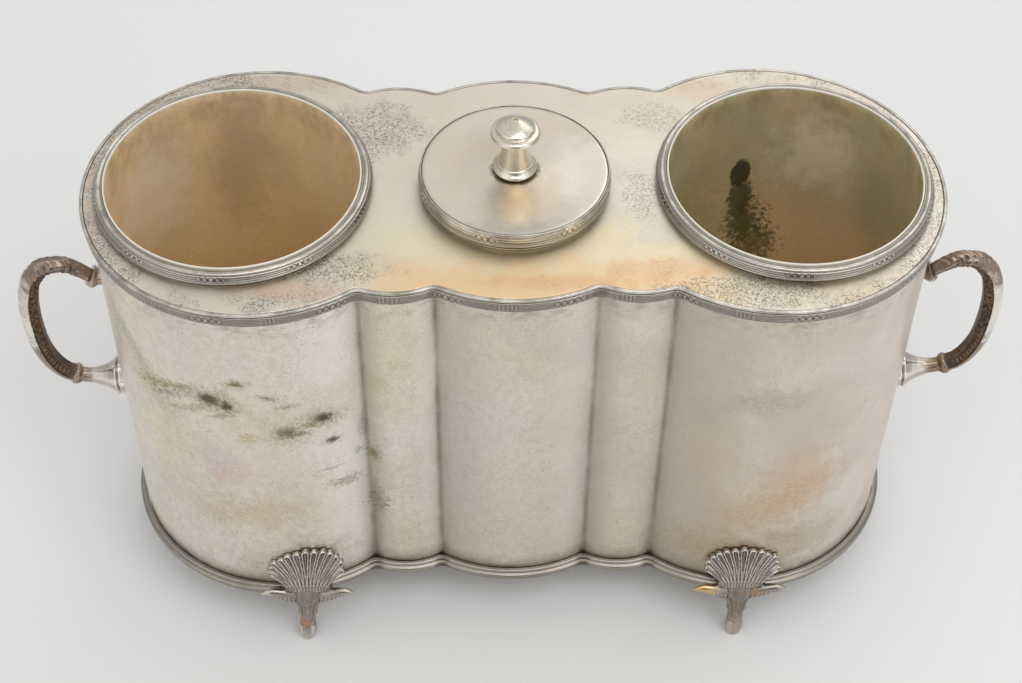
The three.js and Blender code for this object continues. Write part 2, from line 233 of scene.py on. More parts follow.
# ---- Paths that mouldings and walls follow: base points, outward directions, and run along ----
class Path:
    def __init__(self, base, way, run, length):
        self.base, self.way, self.run, self.length = base, way, run, length


def circle_path(x, radius, spacing):
    """A circle about (x, 0). Offsets from it are radii, and run is measured at the given radius."""
    count = max(24, round(2 * math.pi * radius / spacing / 4) * 4)
    a = np.arange(count) * 2 * math.pi / count
    return Path(np.full(count, complex(x, 0)), np.exp(1j * a), a * radius, 2 * math.pi * radius)


def lobe_through(a, b, bulge):
    half = abs(b - a) / 2
    radius = (half**2 + bulge**2) / (2 * bulge)
    outward = -1j * (b - a) / abs(b - a)
    return (a + b) / 2 + outward * (bulge - radius), radius


def crossing(p, p_radius, q, q_radius):
    gap = abs(q - p)
    along = (p_radius**2 - q_radius**2 + gap**2) / (2 * gap)
    across = math.sqrt(p_radius**2 - along**2)
    step = (q - p) / gap
    return max((p + step * complex(along, s * across) for s in (1, -1)), key=lambda z: abs(z.imag))


def lobed_path(crease_radius, spacing, crease_spacing=None):
    """The body's outline, anticlockwise, from lobes joined by hollow fillets."""
    small = lobe_through(OUTER_CREASE, INNER_CREASE, SMALL_BULGE)
    middle = lobe_through(INNER_CREASE, -INNER_CREASE.conjugate(), MIDDLE_BULGE)
    right = (complex(END_X, 0), END_R)
    lobes = [
        right,
        small,
        middle,
        (-small[0].conjugate(), small[1]),
        (-right[0], END_R),
        (-small[0], small[1]),
        (middle[0].conjugate(), middle[1]),
        (small[0].conjugate(), small[1]),
    ]
    count = len(lobes)
    fillets = [
        crossing(
            lobes[i][0],
            lobes[i][1] + crease_radius,
            lobes[(i + 1) % count][0],
            lobes[(i + 1) % count][1] + crease_radius,
        )
        for i in range(count)
    ]
    base, way, run, start = [], [], [], 0.0
    for i, (centre, radius) in enumerate(lobes):
        a0, a1 = cmath.phase(fillets[i - 1] - centre), cmath.phase(fillets[i] - centre)
        if a1 < a0:
            a1 += 2 * math.pi
        b0 = cmath.phase(centre - fillets[i])
        b1 = cmath.phase(lobes[(i + 1) % count][0] - fillets[i])
        if b1 > b0:
            b1 -= 2 * math.pi
        arcs = (
            (centre, radius, 1, a0, a1, spacing),
            (fillets[i], crease_radius, -1, b0, b1, crease_spacing or spacing),
        )
        for middle_point, r, sign, from_a, to_a, step in arcs:
            length = abs(to_a - from_a) * r
            steps = max(3, math.ceil(length / step))
            a = from_a + (to_a - from_a) * np.arange(steps) / steps
            turn = np.exp(1j * a)
            base.append(middle_point + r * turn)
            way.append(sign * turn)
            run.append(start + length * np.arange(steps) / steps)
            start += length
    return Path(np.concatenate(base), np.concatenate(way), np.concatenate(run), start)


def normals(outline):
    """A closed outline's unit normals, on the right of the way it runs."""
    along = np.roll(outline, -1, 0) - np.roll(outline, 1, 0)
    normal = np.stack([along[:, 1], -along[:, 0]], 1)
    return normal / np.linalg.norm(normal, axis=1)[:, None]


def sweep(path, profile, relief=None):
    """A closed profile of (outwards, up) rows, carried along a closed path.

    relief takes the run along the path and the profile's own points, and gives how far the surface
    stands out there.
    """
    out = np.broadcast_to(profile[:, 0], (len(path.run), len(profile))).copy()
    up = np.broadcast_to(profile[:, 1], out.shape).copy()
    if relief:
        normal = normals(profile)
        raised = relief(path.run[:, None], out, up)
        out += raised * normal[:, 0]
        up += raised * normal[:, 1]
    p = path.base[:, None] + path.way[:, None] * out
    points = np.stack([p.real, p.imag, up], -1).reshape(-1, 3)
    return points, [grid_faces(len(path.run), len(profile))]


def lathe(x, profile, segments, closed=True):
    """A turned piece about the vertical axis at x. An open profile starts and ends on that axis."""
    a = np.arange(segments) * 2 * math.pi / segments
    points = np.stack(
        [
            x + np.outer(np.cos(a), profile[:, 0]),
            np.outer(np.sin(a), profile[:, 0]),
            np.broadcast_to(profile[:, 1], (segments, len(profile))),
        ],
        -1,
    )
    return points.reshape(-1, 3), [grid_faces(segments, len(profile), True, closed)]


# ---- Materials ----
class Nodes:
    """Builds a node tree. A value is a number, a vector, a colour or another node's output."""

    def __init__(self, tree):
        self.nodes, self.links = tree.nodes, tree.links

    def put(self, socket, value):
        if isinstance(value, bpy.types.NodeSocket):
            self.links.new(value, socket)
        elif socket.type == "RGBA":
            socket.default_value = (*value, 1)
        else:
            socket.default_value = value

    def node(self, kind, values=(), **settings):
        node = self.nodes.new(f"ShaderNode{kind}")
        for name, value in settings.items():
            setattr(node, name, value)
        for socket, value in zip(node.inputs, values):
            self.put(socket, value)
        return node

    def vector(self, operation, a, b, output=0):
        return self.node("VectorMath", (a, b), operation=operation).outputs[output]

    def math(self, operation, a, b=0.0):
        return self.node("Math", (a, b), operation=operation).outputs[0]

    def plus(self, a, b):
        return self.math("ADD", a, b)

    def all_of(self, operation, values):
        made = values[0]
        for value in values[1:]:
            made = self.math(operation, made, value)
        return made

    def times(self, *values):
        return self.all_of("MULTIPLY", values)

    def most(self, *values):
        return self.all_of("MAXIMUM", values)

    def ramp(self, value, low, high, to_low=0.0, to_high=1.0, kind="LINEAR"):
        values = (value, low, high, to_low, to_high)
        return self.node("MapRange", values, interpolation_type=kind).outputs[0]

    def smooth(self, value, low, high, to_low=0.0, to_high=1.0):
        return self.ramp(value, low, high, to_low, to_high, "SMOOTHSTEP")


class Paint(Nodes):
    """A material built up by tints. place is the surface point in millimetres."""

    def __init__(self, name, colour, metallic=1.0):
        self.material = bpy.data.materials.new(name)
        self.material.use_nodes = True
        super().__init__(self.material.node_tree)
        self.nodes.clear()
        self.shader = self.node("BsdfPrincipled")
        self.node("OutputMaterial", (self.shader.outputs[0],))
        self.shader.inputs["Metallic"].default_value = metallic
        coordinates = self.node("TexCoord").outputs["Object"]
        self.place = self.vector("MULTIPLY", coordinates, (1 / MM,) * 3)
        self.colour = colour

    def noise(self, size, detail, rough, seed=0, wide=1, tall=1, distortion=0.0):
        """Noise from 0 to 1 whose blobs are about size millimetres, longer by wide and tall."""
        scaled = self.vector("MULTIPLY", self.place, tuple(1 / (size * s) for s in (wide, wide, tall)))
        node = self.node("TexNoise")
        self.put(node.inputs["Vector"], self.vector("ADD", scaled, (seed * 7.3, seed * 3.1, seed * 5.7)))
        settings = {"Scale": 1.0, "Detail": detail, "Roughness": rough, "Distortion": distortion}
        for name, value in settings.items():
            node.inputs[name].default_value = value
        return node.outputs[0]

    def cloud(self, size, detail, rough, seed, low, high, to_low=0.0, to_high=1.0, wide=1, tall=1):
        """Noise whose values from low to high are spread over the whole range."""
        return self.ramp(self.noise(size, detail, rough, seed, wide, tall), low, high, to_low, to_high)

    def mix(self, factor, a, b):
        node = self.node("Mix", data_type="RGBA")
        for index, value in ((0, factor), (6, a), (7, b)):
            self.put(node.inputs[index], value)
        return node.outputs[2]

    def tint(self, colour, *masks):
        """Lays a colour over the paint so far, as strongly as the product of the masks."""
        self.colour = self.mix(self.times(*masks), self.colour, colour)

    def attribute(self, name):
        return self.node("Attribute", attribute_name=name).outputs["Fac"]

    def axis(self, index):
        return self.node("SeparateXYZ", (self.place,)).outputs[index]

    def near(self, spot, size, soft=0.6, wander=0.35, grain=3.0, turn=0.0):
        """1 inside an uneven ellipsoid about a spot, 0 outside it. turn tilts it in the XZ plane."""
        offset = self.vector("SUBTRACT", self.place, tuple(spot))
        if turn:
            node = self.node("VectorRotate", rotation_type="Y_AXIS")
            self.put(node.inputs["Vector"], offset)
            node.inputs["Angle"].default_value = math.radians(turn)
            offset = node.outputs[0]
        length = self.vector("LENGTH", self.vector("DIVIDE", offset, tuple(size)), (0, 0, 0), "Value")
        uneven = self.cloud(grain, 4, 0.7, 0, 0.3, 0.7, -wander, wander)
        return self.smooth(self.plus(length, uneven), 1 + soft / 2, 1 - soft / 2)

    def spots(self, rows, *shape):
        """Tints uneven spots: rows of place, size, strength and colour. shape is near's."""
        for place, size, strength, tint in rows:
            self.tint(tint, self.near(place, size, *shape), strength)

    def done(self, roughness, height=None, depth=0.05):
        """Sets the surface. depth is the bump's height in millimetres."""
        self.put(self.shader.inputs["Base Color"], self.colour)
        self.put(self.shader.inputs["Roughness"], roughness)
        if height is not None:
            node = self.node("Bump")
            node.inputs["Strength"].default_value = 1.0
            node.inputs["Distance"].default_value = depth * MM
            self.put(node.inputs["Height"], height)
            self.put(self.shader.inputs["Normal"], node.outputs[0])
        return self.material


def wall_y(x):
    """The front wall's place along Y at x, on an end lobe."""
    return -math.sqrt(max(END_R**2 - (abs(x) - END_X) ** 2, 0))


SILVER = (0.89, 0.83, 0.75)
SILVER_COOL = (0.80, 0.76, 0.71)
SILVER_WARM = (0.84, 0.75, 0.59)
SILVER_PINK = (0.80, 0.68, 0.60)
# Dirt specks on the top and the lid, and painted shade deep in the wall's creases
GRIME_AND_SHADE = (0.16, 0.135, 0.10)
OLIVE = (0.27, 0.24, 0.10)
HALO = (0.46, 0.41, 0.24)
HALO_NEAR = (0.30, 0.29, 0.15)
NEARLY_BLACK = (0.085, 0.085, 0.05)
DARK = (0.08, 0.075, 0.04)
# From this strength up a stain is solid: it hides the metal, and has its own halo
SOLID = 0.9
STAIN_DEPTH = 24
WALL_MARKS = [
    # x, z, half width, half height, turn, how strong, colour
    (-170, 184, 3, 22, 24, 0.6, OLIVE),
    (-166, 168, 7, 20, 33, 0.5, HALO),
    (-158, 172, 12, 4.0, 24, 0.5, HALO),
    (-160, 172, 11, 2.8, 30, 0.89, OLIVE),
    (-156, 168, 8, 2.2, 34, 0.6, DARK),
    (-149, 177, 9, 1.8, 24, 0.7, OLIVE),
    (-147, 164, 12, 2.2, 28, 0.6, OLIVE),
    (-133, 173, 12, 8.0, 12, 0.5, HALO),
    (-136.4, 174.5, 4.4, 3.4, 0, 0.95, NEARLY_BLACK),
    (-129, 171.6, 2.4, 3.0, 20, 0.95, NEARLY_BLACK),
    (-88, 157, 9, 5.5, -18, 0.6, HALO),
    (-103, 152, 9, 6, 0, 0.6, HALO),
    (-132, 164, 6, 1.6, 24, 0.7, OLIVE),
    (-123.3, 187.6, 3.0, 1.5, 0, 0.95, (0.26, 0.20, 0.08)),
    (-121.7, 149, 3.8, 3.0, 24, 0.8, (0.44, 0.35, 0.12)),
    (-110, 178, 4.4, 1.6, -20, 0.75, DARK),
    (-102, 171, 4.0, 1.4, 0, 0.6, DARK),
    (-94, 165, 26, 13, 8, 0.35, HALO),
    (-103.5, 152.6, 4.6, 3.2, 0, 0.97, (0.075, 0.075, 0.045)),
    (-96.5, 150.5, 3.0, 1.4, 0, 0.8, DARK),
    (-87.0, 158.2, 4.2, 2.6, -18, 0.95, NEARLY_BLACK),
    (-93.0, 155.4, 4.6, 1.5, -10, 0.8, (0.24, 0.23, 0.12)),
    (-84.0, 140.5, 2.2, 1.7, -10, 0.95, NEARLY_BLACK),
    (-86, 120, 6, 1.0, 0, 0.6, (0.36, 0.36, 0.25)),
    (-80, 107, 7, 3.0, -10, 0.75, (0.22, 0.23, 0.14)),
    (-72.6, 125, 1.9, 2.2, 0, 0.8, (0.20, 0.42, 0.29)),
    (-66.0, 119, 3.2, 5.0, 0, 0.6, (0.62, 0.46, 0.28)),
    (-66.4, 120, 2.0, 3.4, 0, 0.9, (0.27, 0.20, 0.08)),
    (-65.5, 84, 4.6, 7.0, 0, 0.85, (0.17, 0.18, 0.07)),
    (-66.5, 94, 1.6, 9, 0, 0.6, OLIVE),
    (-70, 142, 2.2, 8, 0, 0.6, (0.16, 0.16, 0.09)),
    (-62, 172, 3.4, 5, 0, 0.55, (0.50, 0.48, 0.24)),
    (-52, 186, 6, 4, 0, 0.4, HALO),
    (-133.5, 121.5, 9, 8, 0, 0.6, (0.70, 0.42, 0.36)),
    (-138, 132, 9, 9, 0, 0.5, (0.60, 0.54, 0.54)),
    (-112, 140, 16, 26, 0, 0.35, (0.82, 0.64, 0.52)),
    (-128, 92, 24, 14, 0, 0.7, (0.60, 0.45, 0.27)),
    # These two darken the wall round the front feet's shells
    (-107, 43, 29, 24, 0, 0.6, (0.34, 0.32, 0.23)),
    (108, 43, 29, 24, 0, 0.6, (0.32, 0.28, 0.20)),
    (-60, 60, 14, 12, 0, 0.35, (0.62, 0.52, 0.38)),
    (136, 112, 18, 22, 0, 0.75, (0.66, 0.44, 0.30)),
    (122, 92, 28, 16, 20, 0.7, (0.56, 0.39, 0.23)),
    (112, 172, 14, 9, 0, 0.55, (0.36, 0.30, 0.22)),
    (152, 147, 14, 18, 0, 0.5, (0.55, 0.45, 0.34)),
    (100, 60, 26, 12, 0, 0.75, (0.50, 0.37, 0.23)),
    (140, 62, 20, 14, 0, 0.65, (0.48, 0.37, 0.25)),
    (92, 128, 14, 24, 0, 0.6, (0.62, 0.49, 0.34)),
    (0, 192, 34, 14, 0, 0.85, (0.50, 0.40, 0.32)),
    (46, 190, 9, 16, 0, 0.35, (0.60, 0.50, 0.38)),
]


def paint_wall():
    paint = Paint("worn_silver_wall", SILVER)
    paint.tint(SILVER_WARM, paint.cloud(62, 3, 0.5, 1, 0.38, 0.64, tall=1.3))
    paint.tint(SILVER_PINK, paint.cloud(34, 4, 0.6, 2, 0.52, 0.72, tall=1.2), 0.7)
    paint.tint(SILVER_COOL, paint.cloud(45, 3, 0.5, 3, 0.5, 0.7, tall=1.6), 0.75)
    paint.tint((0.60, 0.51, 0.44), paint.cloud(4, 5, 0.75, 17, 0.42, 0.62, tall=1.3), 0.38)
    paint.tint((0.46, 0.41, 0.33), paint.cloud(0.9, 3, 0.7, 4, 0.35, 0.68), 0.30)
    # Painted highlight: each lobe is made brightest where it turns to the right
    facing = paint.attribute("facing")
    paint.tint((0.97, 0.93, 0.86), paint.smooth(facing, 0.12, 0.55), paint.smooth(facing, 0.95, 0.6), 0.7)
    # Marks where the plating has gone, thicker in some areas
    area = paint.cloud(17, 4, 0.6, 5, 0.46, 0.62, 0.12, 1.0)
    paint.tint((0.22, 0.19, 0.14), paint.cloud(0.85, 3, 0.65, 6, 0.585, 0.65), area, 0.7)
    # The right end is browner
    x, height = paint.axis(0), paint.axis(2)
    brown = paint.cloud(40, 3, 0.5, 7, 0.28, 0.6, 0.4, 1.0)
    paint.tint((0.58, 0.50, 0.42), paint.ramp(x, -60, 110), brown, 0.72)
    # Painted reflection: the left of each lobe but the left end's is darkened, for the darker side of the
    # room that it reflects
    shaded = paint.times(paint.smooth(facing, -0.05, -0.4), paint.smooth(facing, -0.95, -0.7))
    paint.tint((0.44, 0.39, 0.33), shaded, paint.ramp(x, -125, -75, 0.0, 0.38))
    broken = paint.cloud(1.1, 4, 0.75, 8, 0.40, 0.60, 0.25, 1.0, wide=1.8, tall=0.8)
    for along, up, wide, high, turn, strength, tint in WALL_MARKS:
        place, size = (along, wall_y(along), up), (wide, STAIN_DEPTH, high)
        if strength >= SOLID:
            around = paint.near(place, (wide * 1.9, STAIN_DEPTH, high * 1.8), 1.6, 0.7, 2.0, turn)
            paint.tint(HALO_NEAR, around, broken, 0.6)
            paint.tint(tint, paint.near(place, size, 1.5, 0.5, 2.0, turn), strength)
            continue
        wander, grain = (0.85, 2.0) if min(wide, high) < 8 else (0.5, 9)
        paint.tint(tint, paint.near(place, size, 1.3, wander, grain, turn), broken, strength)
    # Painted shade in the creases, and darker under the top band and towards the bottom, over the base
    # moulding
    crease = paint.attribute("crease")
    patchy = paint.cloud(9, 3, 0.6, 9, 0.3, 0.7, 0.45, 1.0, tall=2.5)
    paint.tint((0.34, 0.29, 0.22), paint.smooth(crease, 0.1, 1.0), patchy, 0.55)
    paint.tint(GRIME_AND_SHADE, paint.smooth(crease, 0.72, 1.0), patchy, 0.7)
    under_band = paint.ramp(height, PLATE_TOP - 22, PLATE_TOP - 9)
    paint.tint((0.28, 0.25, 0.2), under_band, paint.cloud(5, 4, 0.7, 10, 0.48, 0.62, wide=1.6), 0.55)
    over_foot = paint.ramp(height, WALL_BOTTOM + 14, WALL_BOTTOM + 3)
    paint.tint((0.27, 0.23, 0.16), over_foot, paint.cloud(6, 3, 0.6, 11, 0.25, 0.6, 0.4, 1.0), 0.75)
    gloss = paint.cloud(16, 4, 0.6, 12, 0.3, 0.7, 0.30, 0.44)
    bump = paint.mix(0.35, paint.noise(1.1, 3, 0.6, 13), paint.noise(7, 3, 0.5, 14))
    return paint.done(gloss, bump, 0.045)


TOP_TINTS = [
    # x, y, half widths, strength, colour
    (60, -52, 22, 6, 0.75, (0.82, 0.50, 0.30)),
    (18, -60, 34, 4, 0.7, (0.80, 0.47, 0.27)),
    (-95, -64, 22, 6, 0.65, (0.74, 0.47, 0.36)),
    (-52, -20, 18, 12, 0.4, (0.84, 0.80, 0.68)),
    (62, -30, 14, 8, 0.6, (0.66, 0.66, 0.64)),
    # Painted highlight: the sheet right of the lid is lightened, standing in for the overhead lamp's
    # reflection
    (62, 6, 20, 30, 0.6, (0.92, 0.85, 0.75)),
    (180, 0, 9, 50, 0.5, (0.90, 0.86, 0.78)),
    (-60, -48, 12, 6, 0.3, (0.62, 0.56, 0.50)),
    (120, -66, 40, 7, 0.5, (0.70, 0.58, 0.38)),
    (-170, 45, 14, 18, 0.5, (0.60, 0.42, 0.33)),
    (-120, 70, 40, 6, 0.55, (0.66, 0.48, 0.38)),
    (-186, 10, 6, 40, 0.5, (0.55, 0.42, 0.34)),
    (90, 62, 14, 7, 0.5, (0.74, 0.50, 0.36)),
    (-66, 42, 20, 14, 0.3, (0.62, 0.55, 0.48)),
]
TOP_PITTING = [
    # x, y, half widths, strength
    (-62, 36, 20, 18, 0.75),
    (56, -8, 10, 16, 0.6),
    (-84, -50, 26, 10, 0.8),
    (96, -66, 34, 9, 0.9),
    (-176, -28, 10, 26, 0.8),
    (176, -34, 12, 26, 0.7),
    (66, 44, 16, 10, 0.5),
    (-182, 24, 9, 26, 1.0),
    (-160, 56, 24, 9, 0.9),
]


def paint_top():
    paint = Paint("worn_silver_top", (0.80, 0.74, 0.655))
    paint.tint((0.82, 0.75, 0.62), paint.cloud(55, 3, 0.5, 21, 0.38, 0.62))
    paint.tint((0.78, 0.66, 0.56), paint.cloud(26, 4, 0.6, 22, 0.5, 0.7), 0.55)
    x, y = paint.axis(0), paint.axis(1)
    # Yellow, then orange, towards the middle of the front edge
    moved = paint.plus(y, paint.cloud(18, 3, 0.6, 23, 0.3, 0.7, -7, 7))
    middle = paint.times(paint.smooth(x, -80, -40), paint.smooth(x, 104, 72))
    paint.tint((0.90, 0.78, 0.53), paint.smooth(moved, -8, -36), middle, 0.8)
    paint.tint((0.90, 0.65, 0.38), paint.smooth(moved, -40, -56), middle, 0.85)
    grainy = paint.cloud(1.3, 4, 0.75, 32, 0.40, 0.56, 0.35, 1.0)
    for px, py, wide, deep, strength, tint in TOP_TINTS:
        paint.tint(tint, paint.near((px, py, PLATE_TOP), (wide, deep, 30), 1.0, 0.5, 7), grainy, strength)
    paint.tint((0.5, 0.45, 0.38), paint.cloud(0.8, 3, 0.7, 24, 0.3, 0.7), 0.18)
    # Pitting: along the outer edge, and in patches
    by_edge = paint.times(
        paint.smooth(paint.attribute("edge"), 15, 2),
        paint.cloud(16, 3, 0.6, 25, 0.40, 0.58),
        paint.most(paint.ramp(x, -60, -110), paint.ramp(x, 70, 110, 0, 0.8)),
    )
    patches = [
        paint.times(paint.near((px, py, PLATE_TOP), (wide, deep, 30), 1.0, 0.5, 8), strength)
        for px, py, wide, deep, strength in TOP_PITTING
    ]
    zone = paint.most(by_edge, *patches)
    pits = paint.cloud(1.0, 3, 0.65, 26, 0.50, 0.60)
    paint.tint((0.17, 0.14, 0.11), pits, paint.ramp(zone, 0.15, 0.8), 0.72)
    vein = paint.math("ABSOLUTE", paint.plus(paint.noise(3.6, 4, 0.7, 33, distortion=1.2), -0.5))
    paint.tint((0.16, 0.15, 0.09), paint.ramp(vein, 0.022, 0.004), paint.ramp(zone, 0.1, 0.7), 0.75)
    paint.tint((0.80, 0.79, 0.77), paint.cloud(1.7, 3, 0.65, 27, 0.56, 0.62), paint.ramp(zone, 0.1, 0.6), 0.5)
    paint.tint(GRIME_AND_SHADE, paint.cloud(1.0, 3, 0.65, 28, 0.66, 0.72), 0.35)
    gloss = paint.cloud(14, 4, 0.6, 29, 0.3, 0.7, 0.40, 0.52)
    bump = paint.mix(0.5, paint.noise(1.0, 3, 0.6, 30), paint.noise(6, 3, 0.5, 31))
    return paint.done(gloss, bump, 0.04)


def paint_lid():
    paint = Paint("worn_silver_lid", (0.72, 0.65, 0.57))
    paint.tint((0.70, 0.61, 0.49), paint.cloud(26, 3, 0.5, 41, 0.35, 0.65))
    paint.tint((0.80, 0.66, 0.52), paint.cloud(18, 4, 0.6, 42, 0.5, 0.72), 0.6)
    paint.tint((0.62, 0.60, 0.57), paint.cloud(12, 4, 0.6, 43, 0.55, 0.75), 0.5)
    paint.tint((0.5, 0.45, 0.38), paint.cloud(0.8, 3, 0.7, 44, 0.3, 0.7), 0.16)
    # Grey at the front, light at the right, a painted reflection of the knob before it, and darker round the
    # knob's foot
    paint.tint((0.50, 0.48, 0.43), paint.near((0, -46, LID_TOP), (44, 12, 6), 1.0, 0.4, 9), 0.75)
    paint.tint((0.90, 0.84, 0.76), paint.near((34, -4, LID_TOP), (14, 22, 6), 1.2, 0.4, 9), 0.6)
    paint.tint((1.0, 0.86, 0.62), paint.near((0, -22, LID_TOP), (7, 12, 6), 0.9, 0.2, 5), 0.75)
    paint.tint((0.20, 0.155, 0.10), paint.near((0, 0, LID_TOP), (10.9, 10.9, 6), 0.2, 0.1, 3), 0.85)
    paint.tint(GRIME_AND_SHADE, paint.cloud(1.0, 3, 0.65, 45, 0.64, 0.72), 0.35)
    gloss = paint.cloud(12, 4, 0.6, 46, 0.3, 0.7, 0.30, 0.42)
    return paint.done(gloss, paint.noise(3.5, 3, 0.5, 47), 0.035)


def paint_relief(name, recess, middle, high, low_at, high_at, blotch, rough=(0.16, 0.34), spots=(), lip=0):
    """Metal with relief: recesses hold dirt and edges are rubbed bright.

    low_at and high_at are the relief in millimetres where it is darkest and brightest. blotch is a
    tarnish's colour and strength. lip is a height from which worn silver shows.
    """
    paint = Paint(name, middle)
    cavity = paint.attribute("cavity")
    paint.tint(blotch[:3], paint.cloud(9, 4, 0.65, 51, 0.35, 0.68), blotch[3])
    paint.tint(recess, paint.cloud(0.7, 3, 0.7, 52, 0.35, 0.7), 0.3)
    paint.tint(high, paint.ramp(cavity, 0.0, high_at))
    paint.spots(spots, 0.8, 0.4, 4)
    if lip:
        worn = paint.cloud(9, 3, 0.6, 60, 0.36, 0.62, 0.1, 0.9)
        paint.tint((0.74, 0.70, 0.62), paint.ramp(paint.axis(2), lip - 0.25, lip + 0.1), worn)
    paint.tint(recess, paint.ramp(cavity, 0.0, low_at))
    gloss = paint.ramp(cavity, low_at, high_at, rough[1], rough[0])
    return paint.done(gloss, paint.noise(0.9, 4, 0.7, 53), 0.05)


def paint_handle():
    """Rubbed silver on the outer facets' middle, brown at both ends and in the leaf relief."""
    paint = Paint("handle_patina", (0.94, 0.90, 0.82))
    cavity, inner = paint.attribute("cavity"), paint.attribute("inner")
    less_on_right = paint.ramp(paint.axis(0), -1, 1, 1.0, 0.35)
    paint.tint((0.52, 0.46, 0.40), paint.cloud(8, 4, 0.6, 54, 0.42, 0.66), less_on_right)
    height = paint.plus(paint.axis(2), paint.cloud(7, 4, 0.65, 59, 0.3, 0.7, -9, 9))
    ends = paint.most(paint.ramp(height, 168, 177), paint.ramp(height, 138, 131))
    brown = paint.cloud(4, 4, 0.6, 55, 0.42, 0.66)
    paint.tint(paint.mix(brown, (0.22, 0.165, 0.135), (0.36, 0.235, 0.16)), ends, 0.92)
    paint.tint((0.16, 0.13, 0.11), paint.cloud(0.8, 3, 0.7, 56, 0.35, 0.7), 0.25)
    leaves = paint.mix(brown, (0.12, 0.09, 0.075), (0.22, 0.13, 0.07))
    leaves = paint.mix(paint.ramp(cavity, 0.1, 0.5), leaves, (0.40, 0.33, 0.27))
    leaves = paint.mix(paint.ramp(cavity, 0.0, -0.22), leaves, (0.05, 0.038, 0.030))
    paint.tint(leaves, inner)
    return paint.done(paint.ramp(inner, 0, 1, 0.24, 0.42), paint.noise(0.9, 4, 0.7, 58), 0.05)


def paint_well(name, seed, base, dull, stains):
    """stains are (spot, half sizes, how soft, how uneven, grain, strength, colour) rows."""
    paint = Paint(name, base, 0.3)
    height = paint.axis(2)
    paint.tint(dull, paint.cloud(17, 3, 0.5, seed, 0.34, 0.66, tall=2.2))
    paint.tint((0.74, 0.66, 0.5), paint.cloud(30, 4, 0.6, seed + 1, 0.45, 0.7), 0.3)
    paint.tint((1.0, 0.78, 0.46), paint.ramp(height, 200, 125))
    paint.tint((0.3, 0.22, 0.12), paint.cloud(1.4, 4, 0.7, seed + 2, 0.35, 0.7), 0.22)
    under_rim = paint.ramp(height, RIM_TOP - 26, RIM_TOP - 3)
    paint.tint((0.24, 0.17, 0.09), under_rim, paint.cloud(9, 4, 0.65, seed + 3, 0.42, 0.66, tall=1.4), 0.5)
    for spot, size, soft, wander, grain, strength, tint in stains:
        paint.tint(tint, paint.near(spot, size, soft, wander, grain), strength)
    # The lip's own edge is rubbed bright
    paint.tint((0.82, 0.79, 0.72), paint.ramp(height, RIM_TOP - 1.2, RIM_TOP - 0.5))
    gloss = paint.cloud(12, 4, 0.6, seed + 4, 0.3, 0.7, 0.42, 0.56)
    return paint.done(gloss, paint.noise(2.4, 4, 0.6, seed + 5), 0.06)


def paint_plain(name, colour, roughness, seed):
    """For metal that hardly shows: a mild cloud of tarnish."""
    paint = Paint(name, colour)
    cloud = paint.cloud(16, 4, 0.6, seed, 0.35, 0.7)
    paint.tint(tuple(c * 0.55 for c in colour), cloud, 0.7)
    gloss = paint.ramp(cloud, 0, 1, roughness, roughness + 0.15)
    return paint.done(gloss, paint.noise(1.2, 3, 0.6, seed + 1), 0.04)


WALL = paint_wall()
TOP = paint_top()
LID = paint_lid()
MOULDING = paint_relief(
    "silver_moulding", (0.07, 0.06, 0.045), (0.34, 0.30, 0.25), (0.84, 0.82, 0.77), -0.11, 0.22,
    (0.22, 0.19, 0.16, 0.7), lip=PLATE_TOP - 0.9,
)
RIM = paint_relief(
    "silver_rim", (0.06, 0.05, 0.04), (0.40, 0.365, 0.32), (0.90, 0.87, 0.80), -0.10, 0.19,
    (0.28, 0.24, 0.20, 0.6), lip=RIM_TOP - 0.7,
)
FOOT_TRIM = paint_relief(
    "dull_moulding", (0.05, 0.045, 0.035), (0.28, 0.255, 0.22), (0.78, 0.75, 0.69), -0.12, 0.22,
    (0.19, 0.165, 0.13, 0.8), (0.18, 0.36),
)
CASTING = paint_relief(
    "cast_patina", (0.075, 0.06, 0.05), (0.38, 0.34, 0.30), (0.95, 0.92, 0.86), -0.20, 0.20,
    (0.25, 0.21, 0.18, 0.6), (0.18, 0.38),
    [
        # Darker legs
        ((-105, -80, 26), (11, 9, 9), 0.45, (0.20, 0.17, 0.145)),
        ((112, -80, 24), (11, 9, 11), 0.55, (0.18, 0.15, 0.125)),
        # Where the copper shows through, painted highlights down the hooves, and where the plate has gone
        # golden
        ((-105, -85, 13.5), (2.4, 6, 3.6), 0.7, (0.55, 0.26, 0.14)),
        # Painted highlights: upright streaks down the front hooves, two on the left one and one on the right
        ((-107.6, -87, 5.5), (1.3, 5, 4.5), 0.8, (0.98, 0.95, 0.90)),
        ((-101.2, -87, 6.5), (1.0, 5, 4.5), 0.7, (0.98, 0.95, 0.90)),
        ((110, -87, 6), (1.2, 5, 5), 0.6, (0.80, 0.74, 0.66)),
        ((-127, -81, 35), (6, 8, 4), 0.6, (0.72, 0.66, 0.58)),
        ((-104, -86, 3), (5, 4, 5), 0.6, (0.62, 0.58, 0.52)),
        ((92, -81, 34.5), (9, 8, 4), 0.85, (0.72, 0.47, 0.20)),
        ((113, -84, 6), (5, 6, 5), 0.5, (0.52, 0.43, 0.36)),
        ((121, -82, 33), (5, 8, 3), 0.6, (0.42, 0.27, 0.17)),
    ],
)
HANDLE = paint_handle()
